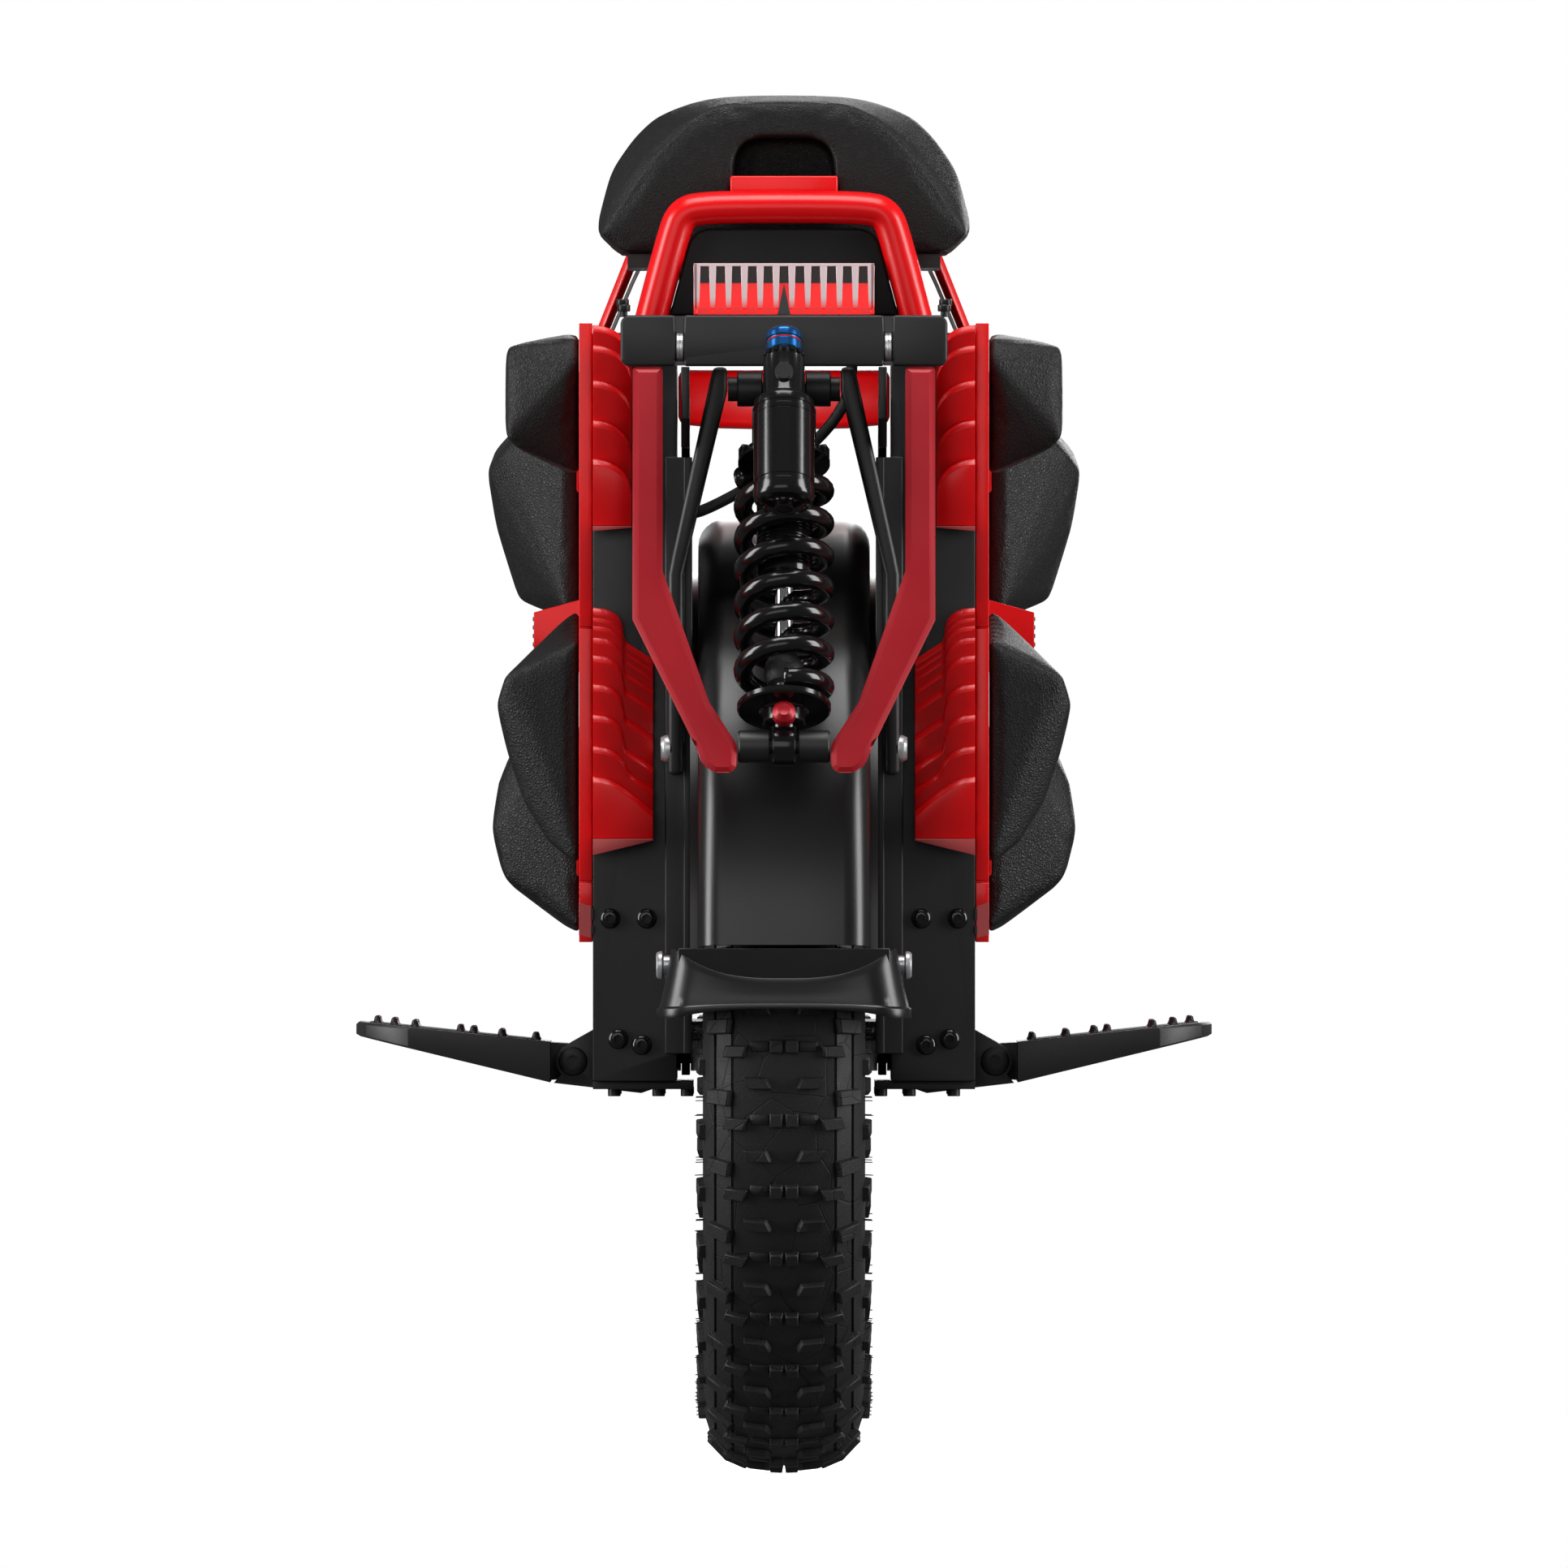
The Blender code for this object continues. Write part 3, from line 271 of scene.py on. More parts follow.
def twin_of(obj):
    """Copy of an object, with its own mesh."""
    twin = obj.copy()
    twin.data = obj.data.copy()
    bpy.context.collection.objects.link(twin)
    return twin


def copies(obj, places, name):
    """Copies of one shape at several matrices, as one piece."""
    made = []
    for place in places:
        twin = twin_of(obj)
        twin.data.transform(place)
        if place.determinant() < 0:
            twin.data.flip_normals()
        made.append(twin)
    bpy.data.objects.remove(obj)
    return joined(made, name)


MIRROR = Matrix.Diagonal((-1, 1, 1, 1))


# %% [markdown]
# A frame node is a mesh of loose triangles. A copy of it, merged and with its flat faces dissolved,
# is a clean start for a finer piece that keeps the exact size and place.

# %% Start from a frame node
def copy_of(node, name):
    """Clean copy of a frame node, under a new name."""
    twin = twin_of(nodes[node])
    twin.parent = None
    for key in list(twin.keys()):
        del twin[key]
    twin.data.materials.clear()
    edit(twin, "VERT")
    bpy.ops.mesh.select_all(action="SELECT")
    bpy.ops.mesh.remove_doubles(threshold=0.00002)
    bpy.ops.mesh.dissolve_limited(angle_limit=math.radians(1.0))
    bpy.ops.mesh.normals_make_consistent(inside=False)
    done()
    twin.name = name
    twin.data.name = name
    return twin


def dress(obj, material, node, slot, extra=()):
    """Give a piece its material, and let it stand for a frame node."""
    obj.data.materials.clear()
    obj.data.materials.append(material)
    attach(obj, nodes[node]["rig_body"])
    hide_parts(node, *extra)
    return obj


def add_trim(obj, material, body):
    """Give an extra piece its material and the body it rides on."""
    obj.data.materials.clear()
    obj.data.materials.append(material)
    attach(obj, body)
    return obj


# %% [markdown]
# ## Materials
# Each finish is a Principled shader with a little life in it: noise that varies the gloss, and a fine
# bump. The pattern reads object coordinates, which are metres here, so scales are real sizes.

# %% Material helpers
def new_finish(name, colour, roughness, metallic=0.0, **constants):
    mat = bpy.data.materials.new(name)
    mat.use_nodes = True
    shader = mat.node_tree.nodes["Principled BSDF"]
    shader.inputs["Base Color"].default_value = (*colour, 1.0)
    shader.inputs["Roughness"].default_value = roughness
    shader.inputs["Metallic"].default_value = metallic
    for key, value in constants.items():
        shader.inputs[key.replace("_", " ")].default_value = value
    return mat, shader


def place_nodes(mat, stretch=(1, 1, 1)):
    """Object coordinates, stretched along the axes."""
    tree = mat.node_tree
    coordinates = tree.nodes.new("ShaderNodeTexCoord")
    mapping = tree.nodes.new("ShaderNodeMapping")
    mapping.inputs["Scale"].default_value = stretch
    tree.links.new(coordinates.outputs["Object"], mapping.inputs["Vector"])
    return mapping.outputs["Vector"]


def noise(mat, place, scale, detail=3.0):
    node = mat.node_tree.nodes.new("ShaderNodeTexNoise")
    node.inputs["Scale"].default_value = scale
    node.inputs["Detail"].default_value = detail
    mat.node_tree.links.new(place, node.inputs["Vector"])
    return node.outputs["Fac"]


def span(mat, value, low, high, start=0.3, end=0.7):
    """Map a pattern's values to a range."""
    node = mat.node_tree.nodes.new("ShaderNodeMapRange")
    for key, number in (("From Min", start), ("From Max", end), ("To Min", low), ("To Max", high)):
        node.inputs[key].default_value = number
    mat.node_tree.links.new(value, node.inputs["Value"])
    return node.outputs["Result"]


def blend_colours(mat, value, first, second):
    node = mat.node_tree.nodes.new("ShaderNodeMix")
    node.data_type = "RGBA"
    node.inputs["A"].default_value = (*first, 1.0)
    node.inputs["B"].default_value = (*second, 1.0)
    mat.node_tree.links.new(value, node.inputs["Factor"])
    return node.outputs["Result"]


def cell_edges(mat, place, cell):
    """Distance from the borders of Voronoi cells of about the given size."""
    node = mat.node_tree.nodes.new("ShaderNodeTexVoronoi")
    node.feature = "DISTANCE_TO_EDGE"
    node.inputs["Scale"].default_value = 1.0 / cell
    mat.node_tree.links.new(place, node.inputs["Vector"])
    return node.outputs["Distance"]


def bump(mat, shader, value, strength, depth, under=None):
    node = mat.node_tree.nodes.new("ShaderNodeBump")
    node.inputs["Strength"].default_value = strength
    node.inputs["Distance"].default_value = depth
    mat.node_tree.links.new(value, node.inputs["Height"])
    if under:
        mat.node_tree.links.new(under, node.inputs["Normal"])
    mat.node_tree.links.new(node.outputs["Normal"], shader.inputs["Normal"])
    return node.outputs["Normal"]


def connect(mat, value, socket):
    mat.node_tree.links.new(value, socket)


# %% [markdown]
# Painted plastic and coated metal share one recipe: a smooth colour with faint clouds in it, gloss
# that varies a little, and orange peel a fraction of a millimetre deep.

# %% Coats and metals
def coated(name, colour, roughness, metallic=0.0, peel=0.06, grain=900.0, **constants):
    mat, shader = new_finish(name, colour, roughness, metallic, **constants)
    place = place_nodes(mat)
    cloud = span(mat, noise(mat, place, 22.0, 4.0), 0.0, 1.0)
    lighter = tuple(min(1.0, c * 1.06 + 0.0005) for c in colour)
    darker = tuple(c * 0.95 for c in colour)
    connect(mat, blend_colours(mat, cloud, darker, lighter), shader.inputs["Base Color"])
    smear = span(mat, noise(mat, place, 30.0, 2.0), roughness * 0.94, roughness * 1.06)
    connect(mat, smear, shader.inputs["Roughness"])
    bump(mat, shader, noise(mat, place, grain, 2.0), peel, 0.0004)
    return mat


def brushed(name, colour, roughness, stretch, metallic=1.0):
    """Metal with fine lines along one axis."""
    mat, shader = new_finish(name, colour, roughness, metallic)
    place = place_nodes(mat, stretch)
    lines = noise(mat, place, 1.0, 4.0)
    connect(mat, span(mat, lines, roughness * 0.7, roughness * 1.5), shader.inputs["Roughness"])
    lighter = tuple(min(1.0, c * 1.12) for c in colour)
    connect(mat, blend_colours(mat, lines, tuple(c * 0.85 for c in colour), lighter),
            shader.inputs["Base Color"])
    bump(mat, shader, lines, 0.05, 0.0002)
    return mat


SATIN = coated("satin_black_coat", (0.0100, 0.0100, 0.0104), 0.46, peel=0.10)
GLOSS = coated("gloss_black_enamel", (0.0045, 0.0045, 0.0050), 0.16, peel=0.03, grain=400.0)
GUNMETAL = coated("dark_anodised", (0.022, 0.022, 0.023), 0.36, 0.6, peel=0.10, grain=1500.0)
RED = coated("gloss_red_shell", (0.720, 0.001, 0.003), 0.30, peel=0.02, grain=500.0, Coat_Weight=0.15,
             Coat_Roughness=0.12, Specular_IOR_Level=0.35)
FENDER_COAT = coated("fender_coat", (0.0060, 0.0060, 0.0064), 0.30, peel=0.05, grain=1200.0)
GRIP = coated("grip_tape", (0.012, 0.012, 0.012), 0.75, peel=0.8, grain=2200.0)
WHITE_TRIM = coated("white_trim", (0.80, 0.80, 0.80), 0.35, peel=0.03)
# Pale red for small inclined facets at the foot of the red covers: red with a painted sheen of light.
SHEEN_RED = coated("pale_red_lip", (0.420, 0.050, 0.050), 0.40, peel=0.02, grain=500.0)
CRIMSON = coated("crimson_anodised", (0.360, 0.0045, 0.0120), 0.38, 0.20, peel=0.03, grain=2500.0,
                 Specular_IOR_Level=0.40)
HOUSING = coated("matt_black_moulding", (0.0040, 0.0040, 0.0042), 0.50, peel=0.05,
                 Specular_IOR_Level=0.25)
BLUE = coated("blue_anodised", (0.010, 0.110, 0.330), 0.25, 0.8, peel=0.04, grain=1500.0)
STEEL = brushed("bright_steel", (0.66, 0.66, 0.67), 0.30, (900, 900, 60), 0.75)
CHROME = brushed("polished_shaft", (0.78, 0.78, 0.79), 0.10, (60, 60, 1200))
WRAP = coated("blue_cell_wrap", (0.015, 0.070, 0.220), 0.45, peel=0.15, grain=120.0)
COPPER = brushed("copper_windings", (0.62, 0.26, 0.12), 0.30, (900, 300, 300))
print("coats ready")

# %% [markdown]
# Leather is a net of small creases. A Voronoi pattern gives the cells, noise pushes them out of line,
# and a second, finer noise adds pores. The hollows are a little duller than the raised grain. The colour
# is also painted darker in the hollows and lighter on the raised grain: painted shade and painted
# highlight.

# %% Leather and rubber
def leather(name, colour, cell):
    mat, shader = new_finish(name, colour, 0.5, Specular_IOR_Level=0.36)
    tree = mat.node_tree
    place = place_nodes(mat)
    wobble = tree.nodes.new("ShaderNodeTexNoise")
    wobble.inputs["Scale"].default_value = 300.0
    connect(mat, place, wobble.inputs["Vector"])
    push = tree.nodes.new("ShaderNodeVectorMath")
    push.operation = "MULTIPLY_ADD"
    push.inputs[1].default_value = (0.002, 0.002, 0.002)
    connect(mat, wobble.outputs["Color"], push.inputs[0])
    connect(mat, place, push.inputs[2])
    # Painted shade and painted highlight: the colour goes darker at the cell borders and lighter inside
    # the cells.
    crease = span(mat, cell_edges(mat, push.outputs["Vector"], cell), 0.0, 1.0, 0.0, 0.35)
    lighter = tuple(c * 1.2 for c in colour)
    connect(mat, blend_colours(mat, crease, tuple(c * 0.5 for c in colour), lighter),
            shader.inputs["Base Color"])
    connect(mat, span(mat, crease, 0.60, 0.40, 0.0, 1.0), shader.inputs["Roughness"])
    pores = bump(mat, shader, noise(mat, place, 2600.0, 2.0), 0.20, 0.0002)
    bump(mat, shader, crease, 0.60, 0.0003, pores)
    return mat


def rubber(name, colour, roughness, pebble, sipe=0.0):
    """Pebbled rubber. Sipes are thin cuts that run in polygons of about the given size."""
    mat, shader = new_finish(name, colour, roughness)
    place = place_nodes(mat)
    dust = span(mat, noise(mat, place, 35.0, 5.0), 0.0, 1.0)
    dusty = blend_colours(mat, dust, colour, tuple(c * 1.4 for c in colour))
    connect(mat, span(mat, noise(mat, place, 90.0), roughness * 0.9, roughness * 1.1),
            shader.inputs["Roughness"])
    pebbles = bump(mat, shader, noise(mat, place, pebble, 3.0), 0.35, 0.0006)
    if not sipe:
        connect(mat, dusty, shader.inputs["Base Color"])
        return mat
    # The sipes are painted near black: painted shade inside the thin cuts.
    cut = span(mat, cell_edges(mat, place, sipe), 0.0, 1.0, 0.006, 0.016)
    tree = mat.node_tree
    shade = tree.nodes.new("ShaderNodeMix")
    shade.data_type = "RGBA"
    shade.inputs["A"].default_value = (0.0008, 0.0008, 0.0008, 1.0)
    connect(mat, cut, shade.inputs["Factor"])
    connect(mat, dusty, shade.inputs["B"])
    connect(mat, shade.outputs["Result"], shader.inputs["Base Color"])
    bump(mat, shader, cut, 0.35, 0.0006, pebbles)
    return mat


LEATHER = leather("grained_leather", (0.0062, 0.0062, 0.0064), 0.0016)
SEAT_LEATHER = leather("seat_leather", (0.0048, 0.0048, 0.0050), 0.0015)
TYRE_RUBBER = rubber("tyre_rubber", (0.0078, 0.0078, 0.0078), 0.60, 900.0, 0.029)
CABLE_RUBBER = rubber("cable_sheath", (0.012, 0.012, 0.012), 0.45, 1500.0)

# %% [markdown]
# Lamps: the tail light glows a little, as lit fins do, and fades from pale pink at the top to red at
# the bottom. The fade follows height in object coordinates.

# %% Lamp materials
def fading_lamp(name, low_z, high_z, low, high, glow):
    mat, shader = new_finish(name, low, 0.18)
    place = place_nodes(mat)
    split = mat.node_tree.nodes.new("ShaderNodeSeparateXYZ")
    connect(mat, place, split.inputs["Vector"])
    height = span(mat, split.outputs["Z"], 0.0, 1.0, low_z, high_z)
    fade = blend_colours(mat, height, low, high)
    connect(mat, fade, shader.inputs["Base Color"])
    connect(mat, fade, shader.inputs["Emission Color"])
    shader.inputs["Emission Strength"].default_value = glow
    connect(mat, span(mat, noise(mat, place, 200.0), 0.12, 0.24), shader.inputs["Roughness"])
    return mat


LENS_LOW, LENS_HIGH = corners("taillight_lens")
FIN_LIGHT = fading_lamp("tail_fins", LENS_LOW.z + 0.003, LENS_LOW.z + 0.009, (0.9, 0.0, 0.0),
                        (0.66, 0.50, 0.51), 0.15)
DEEP_RED = coated("tail_reflector", (0.80, 0.0, 0.0), 0.2, peel=0.02, Emission_Color=(1, 0, 0, 1),
                  Emission_Strength=0.55)
# Dark red for the top strip of the reflector: painted shade.
TAIL_SHADE = coated("tail_shade", (0.020, 0.004, 0.004), 0.3, peel=0.02)
TAIL_RED = coated("tail_scallop_red", (0.80, 0.0, 0.0), 0.2, peel=0.02, Emission_Color=(1, 0, 0, 1),
                  Emission_Strength=0.30)
CLEAR = coated("clear_lens", (0.80, 0.83, 0.86), 0.06, peel=0.02, Transmission_Weight=0.6, IOR=1.49)

# %% [markdown]
# ## Frame nodes that keep their shape
# Small and hidden pieces are right as they are. They only need their finish.

# %% Finish for kept nodes
KEPT = {
    "battery_pack_left": WRAP, "battery_pack_right": WRAP, "stator": COPPER, "axle": STEEL,
    "controller": GUNMETAL, "seat_pan": SATIN, "power_button": STEEL, "headlight_housing": GLOSS,
    "motor_cable": CABLE_RUBBER,
}
for node, finish in KEPT.items():
    nodes[node].data.materials.clear()
    nodes[node].data.materials.append(finish)

# %% [markdown]
# ## Cast and folded plates
# The cases, arms and beams are plates whose edges catch the light. A bevel on a clean copy gives that
# highlight, and its width is the real edge radius.

# %% Bevelled shells
PAIRED_PLATES = {
    "side_case": (SATIN, "satin_black", 0.0012, 2), "fork_leg": (GUNMETAL, "dark_metal", 0.0006, 2),
    "shock_arm": (SATIN, "satin_black", 0.0024, 2), "pedal_hanger": (SATIN, "satin_black", 0.0006, 2),
}
PLATES = {"%s_%s" % (node, side): recipe
          for node, recipe in PAIRED_PLATES.items() for side, sign in SIDES}
PLATES.update({
    "chassis_deck": (SATIN, "satin_black", 0.0010, 2), "crossbeam": (SATIN, "satin_black", 0.0015, 3),
    "taillight_housing": (HOUSING, "gloss_black", 0.0015, 3),
    "front_brace": (RED, "panel_red", 0.0010, 2), "front_hoop": (RED, "panel_red", 0.0010, 2),
})
for node, (finish, slot, width, segments) in PLATES.items():
    shell = copy_of(node, "shell_" + node)
    round_edges(shell, width, segments)
    dress(shell, finish, node, slot)
print("bevelled", len(PLATES), "shells")

# %% [markdown]
# ## The shock
# Everything on the shock is turned on a lathe, so each piece is a profile spun about the shock's axis.
# Distances run down from the upper eye. The damper body has a threaded tube, which is a zigzag profile.

# %% Damper body
def down(distance):
    return UPPER_EYE + DOWN * distance


TUBE_END = 0.1115
THREAD_START, THREAD_STEP = 0.0365, 0.0021
CREST, ROOT = 0.0145, 0.0139
thread = []
step = 0.0
while THREAD_START + step < TUBE_END - 0.004:
    thread += [(CREST, THREAD_START + step), (ROOT, 0.0370 + step), (ROOT, 0.0374 + step),
               (CREST, 0.0379 + step)]
    step += THREAD_STEP
head = [(0.0, 0.0062), (0.0095, 0.0062), (0.0105, 0.0070), (0.0105, 0.0100), (0.0162, 0.0122),
        (0.0170, 0.0132), (0.0170, 0.0292), (0.0162, 0.0304), (0.0145, 0.0340)]
tail = [(CREST, TUBE_END - 0.003), (0.0140, TUBE_END), (0.0056, TUBE_END), (0.0056, 0.058),
        (0.0, 0.058)]
tube = lathe("damper_tube", head + thread + tail, UPPER_EYE, DOWN, 48)
eye = lathe("damper_eye", [(0.0054, -0.0112), (0.0104, -0.0112), (0.0110, -0.0106), (0.0110, 0.0106),
                           (0.0104, 0.0112), (0.0054, 0.0112)], UPPER_EYE, (1, 0, 0), 40, ring=True)
web = ((-0.0088, 0.011), (0.0088, 0.011), (0.0088, 0.0255), (-0.0088, 0.0255))
bridge = plate("damper_bridge", [down(t) + BEHIND * 0.012 + Vector((x, 0, 0)) for x, t in web],
               BEHIND * 0.0225)
round_edges(bridge, 0.0012, 3)
damper = joined([tube, eye, bridge], "damper_turned")
dress(damper, GLOSS, "damper_body", "gloss_black")
print("damper faces:", len(damper.data.polygons))

# %% [markdown]
# The reservoir is a bottle beside the damper: a slim neck, a body with ring grooves near both ends and
# a recessed cap. A ring of small teeth under the knob gives the fingers a stop to feel.

# %% Reservoir
RESERVOIR_TOP = UPPER_EYE + BEHIND * 0.046
ALONG_SHOCK = DOWN.to_track_quat("Z", "Y").to_matrix().to_4x4()


def ring_places(centre, radius, count):
    """Places in a ring about the shock's axis."""
    return [Matrix.Translation(centre) @ ALONG_SHOCK @ Matrix.Rotation(math.tau * i / count, 4, "Z")
            @ Matrix.Translation((0, radius, 0)) for i in range(count)]


bottle = lathe("bottle", [
    (0.0, 0.0016), (0.0098, 0.0016), (0.0100, 0.0048), (0.0106, 0.0050), (0.0110, 0.0056),
    (0.0110, 0.0262), (0.0116, 0.0276), (0.0146, 0.0296), (0.0158, 0.0308), (0.0162, 0.0322),
    (0.0162, 0.0350), (0.0157, 0.0354), (0.0157, 0.0372), (0.0162, 0.0376), (0.0162, 0.0398),
    (0.0159, 0.0400), (0.0159, 0.0404), (0.0162, 0.0406), (0.0162, 0.0786), (0.0157, 0.0790),
    (0.0157, 0.0812), (0.0162, 0.0816), (0.0162, 0.0864), (0.0157, 0.0884), (0.0142, 0.0900),
    (0.0122, 0.0904), (0.0112, 0.0896), (0.0104, 0.0884), (0.0066, 0.0884), (0.0054, 0.0890),
    (0.0050, 0.0898), (0.0050, 0.0930), (0.0045, 0.0935), (0.0, 0.0935)], RESERVOIR_TOP, DOWN, 64)
tooth = block("tooth", (-0.0012, -0.0008, -0.0011), (0.0012, 0.0008, 0.0011))
round_edges(tooth, 0.0002, 1)
teeth = copies(tooth, ring_places(RESERVOIR_TOP + DOWN * 0.0030, 0.0101, 14), "knob_teeth")
plug_at = RESERVOIR_TOP + DOWN * 0.0178
plug = lathe("neck_plug", [(0.0, 0.0070), (0.0050, 0.0070), (0.0050, 0.0120), (0.0046, 0.0126),
                           (0.0, 0.0126)], plug_at, BEHIND, 32)
reservoir = joined([bottle, teeth], "reservoir_turned")
dress(reservoir, GLOSS, "reservoir", "gloss_black")
add_trim(plug, GUNMETAL, "shock_body")

# %% [markdown]
# The blue knob on top has a waist for grip and a red cap that marks the compression side. The collar
# below is a slotted nut. Its slots take a hook spanner.

# %% Knob and preload collar
knob = lathe("knob_turned", [
    (0.0, -0.0112), (0.0078, -0.0112), (0.0088, -0.0104), (0.0094, -0.0094), (0.0095, -0.0086),
    (0.0095, -0.0062), (0.0089, -0.0056), (0.0088, -0.0048), (0.0089, -0.0040), (0.0095, -0.0034),
    (0.0095, 0.0004), (0.0091, 0.0010), (0.0, 0.0010)], RESERVOIR_TOP, DOWN, 56)
dress(knob, BLUE, "damper_knob", "blue")
cap = lathe("knob_cap", [(0.0, -0.0114), (0.0076, -0.0114), (0.0080, -0.0110), (0.0060, -0.0108),
                         (0.0, -0.0108)], RESERVOIR_TOP, DOWN, 40)
add_trim(cap, CRIMSON, "damper_knob")
waist = lathe("knob_waist", [(0.0086, -0.0054), (0.00905, -0.0052), (0.00905, -0.0044),
                             (0.0086, -0.0042)], RESERVOIR_TOP, DOWN, 40, ring=True)
add_trim(waist, CRIMSON, "damper_knob")
nut = lathe("collar_nut", [(0.0149, 0.0374), (0.0208, 0.0374), (0.0214, 0.0380), (0.0214, 0.0424),
                           (0.0240, 0.0424), (0.0244, 0.0428), (0.0244, 0.0445), (0.0149, 0.0445)],
            UPPER_EYE, DOWN, 64, ring=True)
lug = block("collar_lug", (-0.0034, -0.0018, -0.0030), (0.0034, 0.0018, 0.0030))
round_edges(lug, 0.0004, 2)
lugs = copies(lug, ring_places(down(0.0404), 0.0226, 10), "collar_lugs")
collar = joined([nut, lugs], "collar_turned")
dress(collar, GLOSS, "preload_collar", "gloss_black")
print("knob and collar ready")

# %% [markdown]
# The shaft is polished, and its seat and eye are black. They move as one body, but they are two
# finishes, so they are two pieces. The red rebound knob has flat facets, cut by a spin of few steps.

# %% Shaft, spring seat and lower eye
SHOCK_LENGTH = (LOWER_EYE - UPPER_EYE).length
SEAT = SHOCK_LENGTH - 0.0246
shaft = lathe("shaft_turned", [(0.0, 0.1000), (0.0046, 0.1000), (0.0050, 0.1004), (0.0050, SEAT + 0.001),
                               (0.0, SEAT + 0.001)], UPPER_EYE, DOWN, 40)
dress(shaft, CHROME, "damper_shaft", "steel")
bump_stop = lathe("bump_stop", [(0.0052, SEAT - 0.030), (0.0068, SEAT - 0.029), (0.0098, SEAT - 0.024),
                                (0.0104, SEAT - 0.020), (0.0104, SEAT - 0.015), (0.0086, SEAT - 0.012),
                                (0.0052, SEAT - 0.011)], UPPER_EYE, DOWN, 40, ring=True)
seat = lathe("spring_seat", [
    (0.0052, SEAT), (0.0205, SEAT), (0.0215, SEAT - 0.0004), (0.0240, SEAT - 0.0002),
    (0.0249, SEAT + 0.0006), (0.0249, SEAT + 0.0030), (0.0240, SEAT + 0.0040), (0.0132, SEAT + 0.0046),
    (0.0128, SEAT + 0.0052),
    (0.0116, SEAT + 0.0058), (0.0114, SHOCK_LENGTH - 0.0125), (0.0104, SHOCK_LENGTH - 0.0116),
    (0.0066, SHOCK_LENGTH - 0.0108), (0.0060, SHOCK_LENGTH - 0.0060), (0.0, SHOCK_LENGTH - 0.0060),
    (0.0, SEAT)], UPPER_EYE, DOWN, 56)
end_eye = lathe("lower_eye", [
    (0.0056, -0.0060), (0.0094, -0.0060), (0.0102, -0.0054), (0.0105, -0.0044), (0.0105, 0.0044),
    (0.0102, 0.0054), (0.0094, 0.0060), (0.0056, 0.0060)], LOWER_EYE, (1, 0, 0), 48, ring=True)
foot = joined([seat, end_eye], "shaft_foot")
add_trim(foot, GLOSS, "shock_shaft")
add_trim(bump_stop, TYRE_RUBBER, "shock_shaft")
rebound = lathe("rebound_facets", [(0.0, 0.0100), (0.0052, 0.0100), (0.0062, 0.0122), (0.0062, 0.0178),
                                   (0.0034, 0.0206), (0.0030, 0.0204), (0.0, 0.0204)],
                down(SHOCK_LENGTH - 0.0120), BEHIND, 12)
dress(rebound, CRIMSON, "rebound_knob", "crimson")

# %% [markdown]
# A coil spring is one round section carried along a helix. The Screw modifier does exactly that. It
# works about Z, so the spring is made upright and then laid along the shock.

# %% Coil spring
COIL_START, COIL_END = 0.0503, 0.1804
COIL_TURNS = 6.75
bpy.ops.object.select_all(action="DESELECT")
bpy.ops.mesh.primitive_circle_add(vertices=16, radius=0.0050, location=(0.0218, 0, 0),
                                  rotation=(math.radians(90), 0, 0))
spring = bpy.context.object
bpy.ops.object.transform_apply(location=True, rotation=True, scale=True)
apply(spring, "SCREW", axis="Z", angle=math.tau * COIL_TURNS, screw_offset=COIL_END - COIL_START,
      steps=240, render_steps=240, use_smooth_shade=True)
edit(spring, "VERT")
bpy.ops.mesh.select_non_manifold(extend=False)
bpy.ops.mesh.edge_face_add()
done()
outward(spring)
frame_turn = Matrix((Vector((1, 0, 0)), BEHIND, DOWN)).transposed().to_4x4()
spring.data.transform(Matrix.Translation(down(COIL_START)) @ frame_turn
                      @ Matrix.Rotation(math.pi, 4, "Z"))
settle(spring, "coil_wire")
dress(spring, GLOSS, "coil_spring", "gloss_black")
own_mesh(spring)
print("spring faces:", len(spring.data.polygons))

# %% [markdown]
# The pins through both eyes are plain dark tubes with a slim end.

# %% Shock pins
for node, centre, ends in (("upper_shock_pin", UPPER_EYE, (0.0115, 0.0248, 0.0093, 0.0297, 0.0065)),
                           ("lower_shock_pin", LOWER_EYE, (0.0077, 0.0240, 0.0086, 0.0244, 0.0080))):
    start, shoulder, radius, end, slim = ends
    half = [(0.0040, start), (radius - 0.0004, start), (radius, start + 0.0004),
            (radius, shoulder - 0.0006), (radius - 0.0006, shoulder), (slim, shoulder), (slim, end),
            (0.0, end)]
    profile = [(r, -x) for r, x in reversed(half)] + half
    pin = lathe(node + "_turned", profile, centre, (1, 0, 0), 40)
    dress(pin, SATIN, node, "satin_black")

# %% [markdown]
# ## Link arms
# The two crimson arms are milled from plate. The rim of the rear face is chamfered, and the lower ends
# are counterbored from outside for the pin's screw, so a round cutter is taken out of each copy.

# %% Link arms
def edit_rear(obj):
    """Enter edit mode with only the faces that look backwards selected."""
    edit(obj)
    done()
    for face in obj.data.polygons:
        face.select = face.normal.y < -0.9
    bpy.ops.object.mode_set(mode="EDIT")


def chamfer_rear(obj, width):
    """Cut a flat chamfer all round the rear face."""
    edit_rear(obj)
    bpy.ops.mesh.region_to_loop()
    bpy.ops.mesh.bevel(offset=width, segments=1, affect="EDGES", clamp_overlap=True)
    done()


